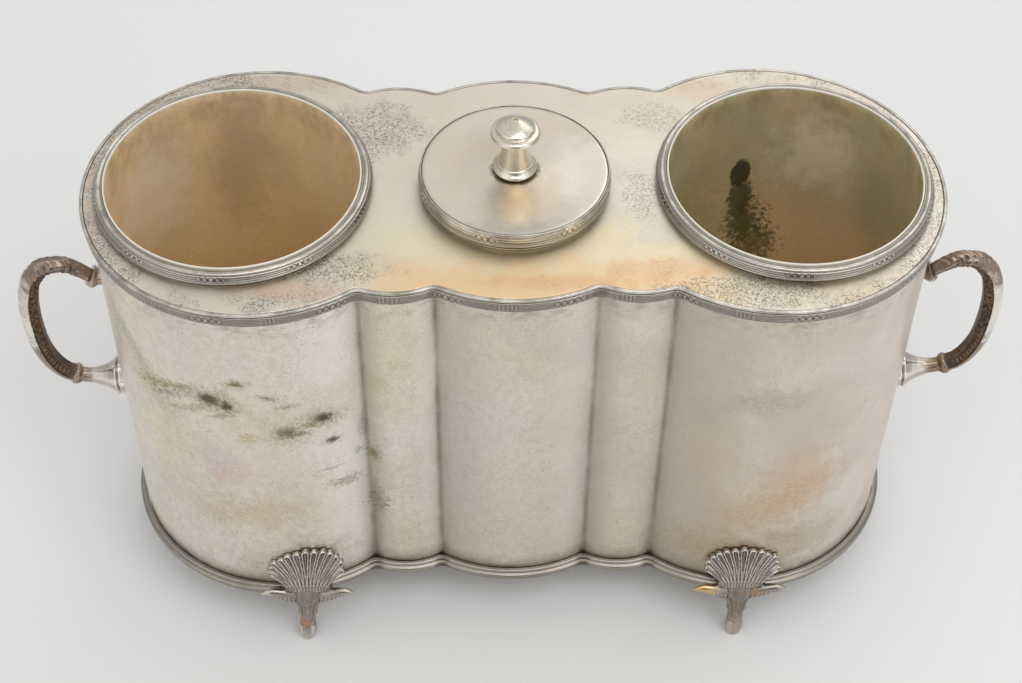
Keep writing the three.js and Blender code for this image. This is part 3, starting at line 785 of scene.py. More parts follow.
FERRULE = paint_relief(
    "ferrule_silver", (0.10, 0.08, 0.06), (0.66, 0.62, 0.56), (0.92, 0.88, 0.82), -0.3, 0.3,
    (0.46, 0.37, 0.29, 0.6), (0.20, 0.34),
    [
        # Brown where the bows meet them
        ((196, 0, 184), (9, 14, 9), 0.9, (0.22, 0.17, 0.12)),
        ((-195, 0, 178), (6, 9, 9), 0.7, (0.36, 0.25, 0.20)),
        ((213, 0, 112), (7, 12, 12), 0.9, (0.26, 0.18, 0.12)),
        ((196, -8, 97), (7, 9, 7), 0.9, (0.14, 0.12, 0.10)),
        ((-213, 0, 110), (6, 12, 12), 0.75, (0.30, 0.22, 0.16)),
    ],
)
KNOB = paint_relief(
    "polished_knob", (0.10, 0.08, 0.06), (0.84, 0.79, 0.70), (0.95, 0.93, 0.88), -0.45, 0.6,
    (0.80, 0.68, 0.50, 0.6), (0.12, 0.26),
)
BRASS = paint_plain("dull_brass", (0.52, 0.41, 0.22), 0.4, 61)
INNER = paint_plain("inner_silver", (0.58, 0.54, 0.47), 0.38, 63)


# ---- Body wall ----
WALL_ROW = 3.4
CREASE_FADE = 6.5


def dents(x, z):
    """Slow unevenness of hand-worked sheet, in millimetres."""
    return (
        0.16 * np.sin(x / 17 + 1.3) * np.sin(z / 23 + 0.4)
        + 0.10 * np.sin(x / 9.1 - z / 31 + 2.1)
        + 0.07 * np.sin(z / 12.7 + x / 41)
    )


def build_wall():
    path = lobed_path(WALL_CREASE_R, 2.2, 0.35)
    heights = np.linspace(WALL_BOTTOM, WALL_TOP, math.ceil((WALL_TOP + 0.1 - WALL_BOTTOM) / WALL_ROW))
    outside = np.stack([np.zeros_like(heights), heights], 1)
    rows = np.concatenate([outside, (outside - (SHEET, 0))[::-1]])
    # Dents die out towards the creases and towards the wall's two edges
    creases = [s * crease.real for crease in (OUTER_CREASE, INNER_CREASE) for s in (1, -1)]
    from_crease = np.min([np.abs(path.base.real - x) for x in creases], axis=0)
    flat = smoothstep(2, 12, from_crease)[:, None]
    ends = smoothstep(0, 18, np.minimum(rows[:, 1] - WALL_BOTTOM, WALL_TOP - rows[:, 1]))

    def relief(run, out, up):
        raised = dents(run, up) * flat * ends
        return np.where(out < -SHEET / 2, -raised, raised)

    points, faces = sweep(path, rows, relief)
    piece = make_piece("wall", points, faces, WALL, "body", "silver", ["body_shell"], sharp=50)
    # crease is 1 in a crease and falls away from it, facing how far the wall faces right
    store(piece.data, "crease", np.repeat(np.exp(-from_crease / CREASE_FADE), len(rows)))
    store(piece.data, "facing", np.repeat(path.way.real, len(rows)))


# ---- Top plate ----
# How far the plate reaches past the wall's line, and how wide its rolled edges are
PLATE_REACH = 1.42
PLATE_BEVEL = 0.2
GRID_PITCH = 6.0
GRID_CLEAR = 4
HOLES = [(-WELL_X, WELL_OUTER + SOLDER), (0.0, 38.9), (WELL_X, WELL_OUTER + SOLDER)]


def build_top():
    path = lobed_path(MOULDING_CREASE_R, 2.0)
    outline = path.base + path.way * PLATE_REACH
    inset = path.base + path.way * (PLATE_REACH - PLATE_BEVEL)
    # Each ring is an edge, and the line beside it where the flat part ends
    turn = np.exp(1j * np.arange(180) * math.pi / 90)
    rings = [(outline, inset)] + [(x + r * turn, x + (r + PLATE_BEVEL) * turn) for x, r in HOLES]
    flat = [inner for _, inner in rings]
    # Points between the edges let the sheet be a little uneven
    inside = []
    across, deep = np.arange(-190, 191, GRID_PITCH), np.arange(-78, 79, GRID_PITCH)
    for z in [complex(x, y) for x in across for y in deep]:
        clear = min(abs(z - x) - r for x, r in HOLES) > GRID_CLEAR
        near = np.argmin(abs(inset - z))
        if clear and ((z - inset[near]) * path.way[near].conjugate()).real < -GRID_CLEAR:
            inside.append(z)
    constraint, start = [], 0
    for ring in flat:
        n = len(ring)
        constraint += [(start + i, start + (i + 1) % n) for i in range(n)]
        start += n
    every = np.concatenate([*flat, np.array(inside)])
    made = delaunay_2d_cdt([Vector((z.real, z.imag)) for z in every], constraint, [], 1, 1e-4)
    spots = np.array([complex(v.x, v.y) for v in made[0]])
    triangles = np.array([f for f in made[2] if len(f) == 3])
    centre = spots[triangles].mean(1)
    triangles = triangles[np.min([abs(centre - x) - r for x, r in HOLES], axis=0) > 0]
    count = len(spots)
    to_edge = np.array([abs(inset - z).min() for z in spots])
    to_rim = np.min([abs(spots - x) - r for x, r in HOLES], axis=0)
    wave = 0.04 * np.sin(spots.real / 23 + 0.7) * np.sin(spots.imag / 19)
    top_z = PLATE_TOP + wave * smoothstep(0, 14, np.minimum(to_edge, to_rim))
    points = [np.stack([spots.real, spots.imag, z], 1) for z in (top_z, np.full(count, PLATE_UNDER))]
    # The rolled edges: from the top's edge out and down to the underside's edge
    where = {source[0]: k for k, source in enumerate(made[3])}
    base, start, quads = 2 * count, 0, []
    for outer, inner in rings:
        n = len(inner)
        for z_at in (PLATE_TOP - PLATE_BEVEL, PLATE_UNDER + 0.1):
            points.append(np.stack([outer.real, outer.imag, np.full(n, z_at)], 1))
        top_at = np.array([where[start + i] for i in range(n)])
        upper = base + np.arange(n)
        lower = upper + n
        for a, b in ((top_at, upper), (upper, lower), (lower, top_at + count)):
            quads.append(np.stack([a, np.roll(a, -1), np.roll(b, -1), b], 1))
        base += 2 * n
        start += n
    points = np.concatenate(points)
    faces = [triangles, triangles[:, ::-1] + count, *quads]

    def face_out(work):
        bmesh.ops.recalc_face_normals(work, faces=work.faces)

    mesh = new_mesh("top_sheet", points, faces, face_out)
    dress("top_sheet", mesh, TOP, "body", "silver", ["top_plate"], sharp=0)
    mesh.shade_flat()
    store(mesh, "edge", np.concatenate([to_edge, to_edge, np.zeros(len(points) - 2 * count)]))


# ---- Mouldings ----
def reeds_and_ties(band, pattern_z, reeds, pitch, tie, depth, leaf, bound=0, start=0):
    """Relief of fine reeds bound by crossed leaves, as sweep takes it.

    band is how far out it begins, its lowest and highest place and how soft its edges are. pattern_z
    is the lowest place and the height of the pattern. pitch is from tie to tie and tie a tie's length.
    leaf is the leaves' pitch along the run, bound how strong the plain bindings halfway between the
    ties are, and start where one tie lies.
    """
    clear, low, high, fade = band

    def relief(run, out, up):
        inside = (out > clear) * smoothstep(low, low + fade, up) * smoothstep(high, high - fade, up)
        v = np.clip((up - pattern_z[0]) / pattern_z[1], 0, 1)
        off = (run - start + pitch / 2) % pitch - pitch / 2
        reed = np.abs(np.sin(math.pi * reeds * v)) ** 0.7 - 0.6
        u = off / leaf
        ribs = np.abs(np.sin(math.pi * (u + v)) * np.sin(math.pi * (u - v))) ** 0.6
        pattern = 1.25 * ribs - 0.45 + 0.5 * np.exp(-((off / 0.7) ** 2))
        edge = np.abs(off) + 2.6 * (2 * np.abs(v - 0.5)) ** 1.5
        tied = 1 - smoothstep(tie / 2 - 0.5, tie / 2 + 0.5, edge)
        halfway = np.abs(off) - pitch / 2
        bars = 0.5 + 0.5 * np.cos(2 * math.pi * halfway / 1.7)
        binding = bound * smoothstep(-4.4, -4.0, halfway)
        plain = reed * (1 - binding) + (1.4 * bars - 0.5) * binding
        return depth * inside * (plain * (1 - tied) + pattern * tied)

    return relief


def build_top_band():
    rows = [
        (0.3, -8.0, 0), (1.6, -8.0, 0.4), (2.2, -7.6, 0.35), (1.7, -7.1, 0.2), (2.4, -6.9, 0.3),
        (2.9, -2.6, 0.3), (1.9, -2.0, 0.15), (2.0, -1.5, 0.15), (3.3, -1.1, 0.5), (3.1, 0.1, 0.5),
        (1.7, 0.1, 0.12), (1.7, -1.8, 0), (0.3, -1.8, 0),
    ]
    low, high = PLATE_TOP - 6.9, PLATE_TOP - 2.5
    path = lobed_path(MOULDING_CREASE_R, 0.75)
    relief = reeds_and_ties(
        (2.0, low, high, 0.4), (low, 4.3), 4, path.length / 18, 15, 0.20, 2.9, bound=0.5
    )
    points, faces = sweep(path, rounded(rows, 0.26, 0, PLATE_TOP), relief)
    make_piece("top_moulding", points, faces, MOULDING, "body", "moulding", ["top_band"], 0, cavity=5)


def build_base_moulding():
    rows = [
        (0.3, -1.8, 0), (2.2, -1.8, 0.6), (3.6, -0.9, 1.2), (3.5, 1.5, 1.3), (2.3, 2.2, 0.4),
        (1.7, 2.5, 0.3), (2.4, 2.9, 0.5), (2.2, 4.3, 0.9), (0.9, 4.6, 0.4), (0.3, 4.6, 0),
    ]
    profile = rounded(rows, 0.4, 0, BASE_UNDER)
    points, faces = sweep(lobed_path(MOULDING_CREASE_R, 1.6), profile)
    make_piece("foot_moulding", points, faces, FOOT_TRIM, "body", "moulding", ["base_moulding"], 0, cavity=4)


def build_rim(side, x):
    inner = WELL_OUTER + SOLDER
    foot = PLATE_TOP + SOLDER
    rows = [
        (0, 0, 0), (2.9, 0, 0.2), (3.3, 1.1, 0.4), (4.4, 1.5, 0.4), (4.6, 2.3, 0.3), (4.1, 2.6, 0.15),
        (4.4, 3.0, 0.2), (3.2, 5.2, 0.2), (2.9, 5.15, 0.1), (3.0, 5.9, 0.6), (2.0, 6.6, 0.9),
        (0.9, 6.2, 0.4), (0.6, 6.0, 0.2), (0, 6.2, 0.1),
    ]
    low = foot + 2.8
    path = circle_path(x, inner + 3, 0.6)
    relief = reeds_and_ties(
        (inner + 3.0, low, foot + 5.2, 0.3), (low, 2.4), 3, path.length / 10, 13, 0.22, 2.7,
        start=path.length * 14 / 360,
    )
    points, faces = sweep(path, rounded(rows, 0.26, inner, foot), relief)
    make_piece(f"{side}_rim", points, faces, RIM, "body", "moulding", [f"{side}_well_rim"], 0, cavity=5)


def build_well(side, x, material):
    inner = WELL_OUTER - 0.8
    rows = [
        (inner, WALL_BOTTOM, 0), (WELL_OUTER, WALL_BOTTOM, 0), (WELL_OUTER, RIM_TOP - 0.1, 0.3),
        (WELL_OUTER - 0.4, RIM_TOP, 0.3), (inner, RIM_TOP - 0.1, 0.3),
    ]
    points, faces = lathe(x, rounded(rows, 6), 240)
    # Slightly out of round, but not at its ends
    angle = np.arctan2(points[:, 1], points[:, 0] - x)
    z = points[:, 2]
    fade = smoothstep(RIM_TOP - 12, RIM_TOP - 40, z) * smoothstep(WALL_BOTTOM, WALL_BOTTOM + 20, z)
    shift = 0.12 * np.sin(z / 21 + angle * 3) * fade
    points[:, 0] += np.cos(angle) * shift
    points[:, 1] += np.sin(angle) * shift
    make_piece(f"{side}_well", points, faces, material, "body", "well", [f"{side}_well_tube"])


# ---- Ice opening and lid ----
def build_collar():
    foot = PLATE_TOP + SOLDER
    rows = [
        (37.6, PLATE_TOP - 12, 0.2), (38.6, PLATE_TOP - 12, 0.2), (38.6, foot, 0), (41, foot, 0.2),
        (41, foot + 0.8, 0.3), (38.6, foot + 1.2, 0.2), (38.6, COLLAR_TOP, 0.3), (37.6, COLLAR_TOP, 0.3),
    ]
    points, faces = lathe(0, rounded(rows, 0.8), 180)
    make_piece("ice_neck", points, faces, INNER, "body", "moulding", ["ice_collar"])


LID_BAND = 1.6
SLEEVE_R = 37.0
SLEEVE_DEPTH = 11
KNOB_BORE = 1.9
STEM_HEIGHT = 19.2


def build_lid():
    inner = LID_R - LID_BAND
    seat = inner - SOLDER
    b = LID_BOTTOM
    sleeve_z = COLLAR_TOP - SLEEVE_DEPTH
    rows = [
        (SLEEVE_R - 1, sleeve_z, 0.2), (SLEEVE_R, sleeve_z, 0.2), (SLEEVE_R, b, 0),
        (seat, b, 0), (seat, b + 1, 0), (SLEEVE_R - 1, b + 1, 0.2),
    ]
    points, faces = lathe(0, rounded(rows, 1.2), 180)
    make_piece("sleeve", points, faces, INNER, "lid", "silver", ["lid_sleeve"])

    rows = [
        (0, 0, 0), (0.9, 0, 0.2), (1.5, 0.4, 0.4), (1.55, 1.2, 0.3), (1.15, 1.45, 0.15),
        (1.55, 1.9, 0.25), (0.95, 5.5, 0.2), (0.7, 5.7, 0.1), (0.9, 6.0, 0.25), (0.5, 6.9, 0.4),
        (0.1, 6.9, 0.2), (0, 6.2, 0),
    ]
    path = circle_path(0, LID_R, 0.5)
    relief = reeds_and_ties(
        (inner + 0.6, b + 1.7, b + 5.7, 0.4), (b + 1.8, 3.8), 3, path.length / 7, 12, 0.22, 2.9,
        start=-path.length * 5.6 / 360,
    )
    points, faces = sweep(path, rounded(rows, 0.24, inner, b), relief)
    make_piece("lid_rim", points, faces, RIM, "lid", "moulding", ["lid_band"], 0, cavity=5)

    # The disc dips a little between the knob and its edge
    under, flat = LID_TOP - 1.2, LID_TOP - 0.2
    rows = [(KNOB_BORE, under), (seat, under), (seat, LID_TOP - 0.35), (seat - 0.4, flat)]
    for r in np.linspace(seat - 1.2, 12, 14):
        rows.append((r, flat - 0.35 * math.sin(math.pi * (r - 12) / (seat - 13))))
    rows += [(10.5, flat), (KNOB_BORE, flat)]
    points, faces = lathe(0, np.array(rows), 180)
    make_piece("lid_disc", points, faces, LID, "lid", "silver", ["lid_plate"])
    build_knob()


def build_knob():
    stem = [
        (KNOB_BORE, 0, 0), (8.9, 0, 0.3), (9.3, 0.5, 0.2), (9.75, 0.8, 0.4), (9.7, 1.6, 0.5),
        (8.9, 2.4, 0.6), (8.1, 3.3, 0.6), (7.9, 4.1, 0.3), (7.4, 4.3, 0.15), (7.0, 6.2, 1.2),
        (6.3, 9.2, 2), (5.6, 12.4, 2), (5.2, 15.6, 2), (5.3, 18.0, 0.8), (5.9, STEM_HEIGHT - 0.2, 0.2),
        (5.6, STEM_HEIGHT, 0.1), (KNOB_BORE, STEM_HEIGHT, 0),
    ]
    points, faces = lathe(0, rounded(stem, 0.5, 0, KNOB_FOOT), 96)
    make_piece("stem", points, faces, KNOB, "lid", "knob", ["knob_stem"], 35, cavity=8)

    cap = [
        (KNOB_BORE, 0.3, 0), (5.2, 0.3, 0.3), (6.2, 0.7, 0.5), (9.0, 0.9, 0.8), (11.0, 1.4, 0.3),
        (11.15, 2.0, 0.3), (10.7, 2.4, 0.15), (10.8, 2.8, 0.3), (10.0, 3.5, 0.5), (8.5, 3.7, 0.2),
        (8.1, 4.2, 0.1), (8.6, 4.7, 0.3), (8.5, 5.5, 0.6), (6.2, 7.0, 2), (3.2, 8.5, 1.5),
        (1.25, 9.25, 0.2), (1.0, 8.1, 0.1), (0, 8.0, 0), (0, 6.5, 0), (KNOB_BORE, 6.5, 0),
    ]
    outline = rounded(cap, 0.45, 0, KNOB_FOOT + STEM_HEIGHT)
    # Open it at the axis, where each end becomes one point
    outline = np.roll(outline, -np.flatnonzero(outline[:, 0] < 1e-6)[-1], 0)
    outline = outline[: np.flatnonzero(outline[:, 0] < 1e-6)[1] + 1]
    points, faces = lathe(0, outline, 96, closed=False)
    make_piece("cap", points, faces, KNOB, "lid", "knob", ["knob_cap"], 35, weld=True, cavity=8)


# ---- Handles ----
BAR_ROUTE = [
    (198.2, 179.4), (204.2, 184.2), (211.8, 186.8), (220.2, 183.8), (226.2, 175), (229.4, 161),
    (229.9, 146), (228.6, 132), (225, 121.4), (220.6, 115.4), (216.6, 113),
]
# How much lower a bow's foot sits than its drawing
DROP = {"right": 0.5, "left": 3.4}
# How far outwards of the middle the ridge lies between a bow's plain and leafy facets
RIDGE = {"right": 0.0, "left": -0.2}
# The heights where a bow's two ends meet the wall
UPPER_Z = 178.0
LOWER_Z = 108.5
BOW_STEP = 0.55
# A leafy facet's width
FACET = 6.5


def even(points, spacing):
    """The same polyline with its points evenly spaced."""
    length = np.concatenate([[0], np.cumsum(np.linalg.norm(np.diff(points, axis=0), axis=1))])
    t = np.linspace(0, length[-1], max(2, round(length[-1] / spacing) + 1))
    return np.stack([np.interp(t, length, points[:, k]) for k in range(points.shape[1])], 1)


def tube_faces(rows, columns):
    """Rings of points joined into a tube, with a face over each end."""
    ring = np.arange(columns)
    return [grid_faces(rows, columns, False, True), np.array([ring[::-1], (rows - 1) * columns + ring])]


def unit(vector):
    return vector / np.linalg.norm(vector)


def tube(route, section, sizes, relief=None):
    """A section of (outwards, sideways) rows along a route in the XZ plane, with capped ends."""
    along = np.gradient(route, axis=0)
    along /= np.linalg.norm(along, axis=1)[:, None]
    outward = np.stack([-along[:, 1], along[:, 0]], 1)
    across, side = (section[None, :, k] * sizes[:, None] for k in (0, 1))
    if relief is not None:
        turning = section[:, 0] * np.roll(section[:, 1], -1) - section[:, 1] * np.roll(section[:, 0], -1)
        normal = normals(section) * np.sign(np.sum(turning))
        across = across + relief * normal[:, 0]
        side = side + relief * normal[:, 1]
    x, z = (route[:, k : k + 1] + outward[:, k : k + 1] * across for k in (0, 1))
    return np.stack([x, side, z], -1).reshape(-1, 3), tube_faces(len(route), len(section))


def section_of(rows, spacing, radius):
    return rounded([(a, b, radius) for a, b in rows], spacing)


def on_wall(points, gap=SOLDER):
    """Pushes what would lie in the end lobe's wall out onto it."""
    off = points[:, 0] - END_X + 1j * points[:, 1]
    distance = np.abs(off)
    inside = distance < END_R + gap
    off = np.where(inside, off / distance * (END_R + gap), off)
    points[:, 0] = off.real + END_X
    points[:, 1] = off.imag
    return points


def bow(route, ridge):
    """A bow with two plain outer facets, and leaves in relief on two inner ones.

    ridge says how far outwards the edges between them lie.
    """
    share = np.linspace(0, 1, len(route))
    size = 0.76 + 0.34 * np.sin(math.pi * share) ** 0.8
    # The foot end stays stout
    size += (1.10 - size) * smoothstep(0.55, 0.92, share)
    half = [(4.4, 1.4), (ridge + 1.9, 3.8), (ridge, 4.7), (-4.2, 1.7)]
    rows = half + [(a, -b) for a, b in half[::-1]]
    section = section_of(rows, 0.40, 0.35)
    outwards, sideways = section[:, 0], section[:, 1]
    # t runs over an inner facet from the outer ridge inwards
    t = np.clip((ridge - 0.1 - outwards) / (ridge + 4.1), 0, 1)[None, :]
    inner = smoothstep(ridge, ridge - 0.3, outwards)
    on_facet = inner * smoothstep(-4.2, -3.8, outwards) * (np.abs(sideways) > 1.6)
    run = share[:, None] * (len(route) * BOW_STEP)
    # Leaf lobes of uneven size and slant, each a short ridge
    chance = np.random.default_rng(7)
    leaves = np.zeros((len(route), len(section)))
    for place in np.arange(6, run[-1, 0] * 0.74, 1.45):
        across, slant = chance.uniform(0.12, 0.88), chance.choice([-1, 1]) * chance.uniform(0.3, 1.1)
        length, width = chance.uniform(1.4, 3.0), chance.uniform(0.7, 1.3)
        du, dv = run - place - chance.uniform(-0.6, 0.6), (t - across) * FACET
        along = du * math.cos(slant) + dv * math.sin(slant)
        off = dv * math.cos(slant) - du * math.sin(slant) - 0.12 * along**2 * np.sign(slant)
        leaf = np.exp(-((along / length) ** 4) - (off / width) ** 2)
        leaves = np.maximum(leaves, chance.uniform(0.5, 1.0) * leaf)
    beads = 0.8 * np.abs(np.sin(math.pi * run / 2.6)) * np.exp(-(((t - 0.45) / 0.2) ** 2))
    edge = 0.5 * np.exp(-(((t - 0.03) / 0.05) ** 2))
    lower = smoothstep(0.70, 0.78, share)[:, None]
    ends = (smoothstep(0.06, 0.14, share) * smoothstep(0.99, 0.95, share))[:, None]
    relief = (leaves * (1 - lower) + beads * lower + edge - 0.45) * on_facet[None, :] * ends
    # The top is lumpy all round
    about = np.arctan2(sideways, outwards)[None, :]
    lumps = np.sin(1.25 * run + 2.2 * np.sin(2 * about)) * np.sin(0.7 * run + 3 * about)
    relief += 0.3 * lumps * (smoothstep(0.02, 0.06, share) * smoothstep(0.36, 0.26, share))[:, None]
    points, faces = tube(route, section, size, relief)
    return points, faces, np.tile(inner, len(route))


def ferrule(at, way, z, stations):
    """An octagonal piece from a bow's end to the wall. stations are (share, radius) rows."""
    octagon = section_of([(math.cos(a), math.sin(a)) for a in (np.arange(8) + 0.5) * math.pi / 4], 0.2, 0.08)
    first = at + way * SOLDER
    bend = first + way * 0.3 * np.linalg.norm(first - (BODY_END, z))
    last = np.array([BODY_END - 2, z])
    t = np.linspace(0, 1, 200)[:, None]
    line = even(first * (1 - t) ** 2 + 2 * bend * t * (1 - t) + last * t**2, 0.25)
    stations = np.array(stations)
    sizes = np.interp(np.linspace(0, 1, len(line)), stations[:, 0], stations[:, 1])
    sizes[1:-1] = np.convolve(sizes, np.array([1, 2, 1]) / 4, "valid")
    points, faces = tube(line, octagon, sizes)
    return on_wall(points), faces


UPPER_STATIONS = [
    (0, 4.6), (0.06, 5.4), (0.14, 5.9), (0.24, 5.8), (0.36, 4.7), (0.44, 4.0), (0.6, 4.0), (1, 4.4),
]
LOWER_STATIONS = [
    (0, 5.0), (0.02, 5.5), (0.05, 5.7), (0.10, 5.4), (0.135, 4.4), (0.16, 3.9), (0.24, 3.8), (0.34, 4.05),
    (0.44, 4.8), (0.54, 5.9), (0.64, 7.4), (0.72, 9.0), (0.775, 10.3), (0.79, 10.3), (0.80, 9.3),
    (0.825, 9.2), (0.835, 10.6), (0.86, 10.9), (1, 11.0),
]


def build_handles():
    for side, turn in (("right", 1), ("left", -1)):
        route = spline(BAR_ROUTE, 200)
        route[:, 1] -= DROP[side] * smoothstep(0.3, 1.0, np.linspace(0, 1, len(route)))
        route = even(route, BOW_STEP)
        points, faces, inner = bow(route, RIDGE[side])
        parts = {
            "upper_ferrule": ferrule(route[0], unit(route[0] - route[2]), UPPER_Z, UPPER_STATIONS),
            "lower_socket": ferrule(route[-1], unit(route[-1] - route[-3]), LOWER_Z, LOWER_STATIONS),
        }
        mirror = (turn, turn, 1)
        bow_piece = make_piece(
            f"{side}_bow", points * mirror, faces, HANDLE, "body", "handle", [f"{side}_handle_bar"],
            28, cavity=5,
        )
        store(bow_piece.data, "inner", inner)
        for kind, (points, faces) in parts.items():
            make_piece(
                f"{side}_{kind}", points * mirror, faces, FERRULE, "body", "handle",
                [f"{side}_handle_{kind}"], 28, cavity=5,
            )


# ---- Feet ----
# How far before the middle plane the front and the back of a foot's shell and strap lie
FOOT_FACE = 81.6
FAN_BACK = 74.6
STRAP_BACK = 74.0
STRAP = (36.2, 41.9)
STRAP_HALF = 11.2
# How far a foot's floor end and its strap stand off its own middle
FOOT_LEAN = {"left": (0.3, 2.6), "right": (1.0, 1.7)}


def closed_patch(front, back):
    """A closed body between two sheets of points that have the same grid."""
    rows, columns = front.shape[:2]
    n = rows * columns
    points = np.concatenate([front.reshape(-1, 3), back.reshape(-1, 3)])
    sheet = grid_faces(rows, columns, False, False)
    rim = np.concatenate(
        [
            np.arange(columns),
            np.arange(1, rows) * columns + columns - 1,
            (rows - 1) * columns + np.arange(columns - 2, -1, -1),
            np.arange(rows - 2, 0, -1) * columns,
        ]
    )
    sides = np.stack([rim, np.roll(rim, -1), np.roll(rim, -1) + n, rim + n], 1)
    return points, [np.concatenate([sheet[:, ::-1], sheet + n, sides])]


def fan():
    """The shell: flutes that rise from the strap, bend outwards and end in rounded tips."""
    flutes = 13
    share = np.linspace(0, 1, flutes * 18 + 1)
    turn = share * 2 - 1
    w = (share * flutes) % 1
    hollow = np.sin(math.pi * w)[None, :]
    number = np.minimum((share * flutes).astype(int), flutes - 1)
    grow = np.array([0.3, 0.9, 0.2, 0.6, 0.9, 0.4, 1.5, 0.5, 0.9, 0.2, 1.2, 0.3, 0.7])[number][None, :]
    angle = 1.30 * turn
    reach = np.interp(abs(angle), [0, 0.4, 0.83, 1.1, 1.30], [22.4, 22.1, 21.2, 19.6, 18.2])
    reach = reach - 1.2 + (1.2 + 0.9 * grow) * hollow**0.6
    foot_x, foot_z = (STRAP_HALF - 0.9) * turn, STRAP[1] - 1.2
    tip_x, tip_z = 1.04 * reach * np.sin(angle), 38.6 + reach * np.cos(angle)
    bend_x, bend_z = foot_x + 0.22 * (tip_x - foot_x), foot_z + 0.48 * (tip_z - foot_z)
    s = np.linspace(0, 1, 84)[:, None]
    x = foot_x * (1 - s) ** 2 + 2 * bend_x * s * (1 - s) + tip_x * s**2
    z = foot_z * (1 - s) ** 2 + 2 * bend_z * s * (1 - s) + tip_z * s**2
    # The outer side is a little wider
    x = np.where(x > 0, x * 1.04, x * 0.98)
    face = FOOT_FACE - 5.0 * s**1.5
    # Each flute is a hollow with a raised rim that closes round its tip, and a short vein
    width = 1.5 + 2.5 * s
    side = np.minimum(w, 1 - w)[None, :] * width + 0.01
    to_tip = (1 - s) * 20 + 0.25
    inward = 1 / np.sqrt(1 / side**2 + 1 / to_tip**2)
    rim = (0.55 + 0.35 * grow * s) * np.exp(-(((inward - 0.6) / 0.34) ** 2))
    hollowed = 0.8 * smoothstep(0.7, 1.4, inward)
    vein = 0.6 * np.exp(-(((w - 0.5)[None, :] * width / 0.32) ** 2)) * (1 - smoothstep(0.60, 0.84, s))
    gap = 0.9 * smoothstep(0.35, 0.0, inward) * smoothstep(0.05, 0.35, s)
    y = -(face + rim - hollowed + vein - gap)
    front = np.stack([x, y, np.broadcast_to(z, x.shape)], -1)
    back = front.copy()
    back[..., 1] = np.maximum(y + 1.3, -FAN_BACK)
    return closed_patch(front, back)


def strap():
    """A band of fine upright reeds between two beads."""
    low, high = STRAP
    x = np.linspace(-STRAP_HALF, STRAP_HALF, 241)
    z = np.linspace(low - 0.6, high + 0.4, 60)
    gx, gz = np.meshgrid(x, z)
    reed = 0.4 * np.abs(np.sin(math.pi * 15 * (gx + STRAP_HALF) / (2 * STRAP_HALF))) ** 0.8
    in_band = smoothstep(low, low + 0.5, gz) * smoothstep(high - 0.7, high - 1.1, gz)
    beads = 0.45 * np.exp(-(((gz - high + 0.25) / 0.35) ** 2))
    beads += 0.3 * np.exp(-(((gz - low + 0.1) / 0.45) ** 2))
    crown = 1.1 * (gx / STRAP_HALF) ** 4
    y = -(FOOT_FACE + 0.2 + reed * in_band + beads - crown)
    front = np.stack([gx, y, gz], -1)
    back = front.copy()
    back[..., 1] = -STRAP_BACK
    return closed_patch(front, back)


def leg():
    """The leaf-wrapped leg: wide and ribbed under the strap, then a neck with a fold, then a hoof."""
    rows = np.array(
        [
            # z, y, half width, half depth
            (0, -82.9, 2.6, 2.9), (0.6, -83.0, 3.3, 3.6), (3, -83.0, 4.0, 4.2), (6, -82.8, 4.25, 4.3),
            (9, -82.2, 4.1, 4.2), (11.5, -81.6, 3.8, 3.9), (13, -81.2, 3.8, 3.8), (16, -80.6, 4.0, 4.1),
            (19.5, -79.8, 4.4, 4.5), (23, -78.9, 5.3, 5.0), (27, -78.0, 7.2, 5.4), (31, -77.3, 9.8, 5.4),
            (36.4, -77.0, 11.6, 4.6),
        ]
    )
    made = spline(rows, 170)
    theta = np.linspace(0, 2 * math.pi, 160, endpoint=False)
    z, y, a, b = (made[:, k][:, None] for k in range(4))
    front = theta + math.pi / 2
    leafy = smoothstep(13.5, 17, z)
    lobes = np.abs(np.cos(2.5 * front)) ** 0.45
    ribs = np.abs(np.cos(7.5 * front)) ** 0.7
    # The upper leaf ends in points that hang over the lower one
    hem = 25.5 + 3.6 * np.abs(np.sin(2.5 * front))
    over = smoothstep(hem - 0.35, hem + 0.35, z) * (1 - 0.6 * smoothstep(hem, hem + 5, z))
    lower_hem = 15.4 + 2.4 * np.abs(np.sin(1.5 * front))
    lower_over = smoothstep(lower_hem - 0.3, lower_hem + 0.3, z)
    lower_over = lower_over * (1 - smoothstep(lower_hem, lower_hem + 4, z))
    fold = 0.05 * np.exp(-(((z - 12.3) / 0.8) ** 2)) - 0.05 * np.exp(-(((z - 10.9) / 0.9) ** 2))
    size = 1 + leafy * (0.19 * lobes - 0.15 + 0.06 * ribs) + 0.12 * over + 0.10 * lower_over + fold
    points = np.stack(
        [a * np.cos(theta) * size, y + b * np.sin(theta) * size, np.broadcast_to(z, size.shape)], -1
    )
    return points.reshape(-1, 3), tube_faces(len(made), len(theta))


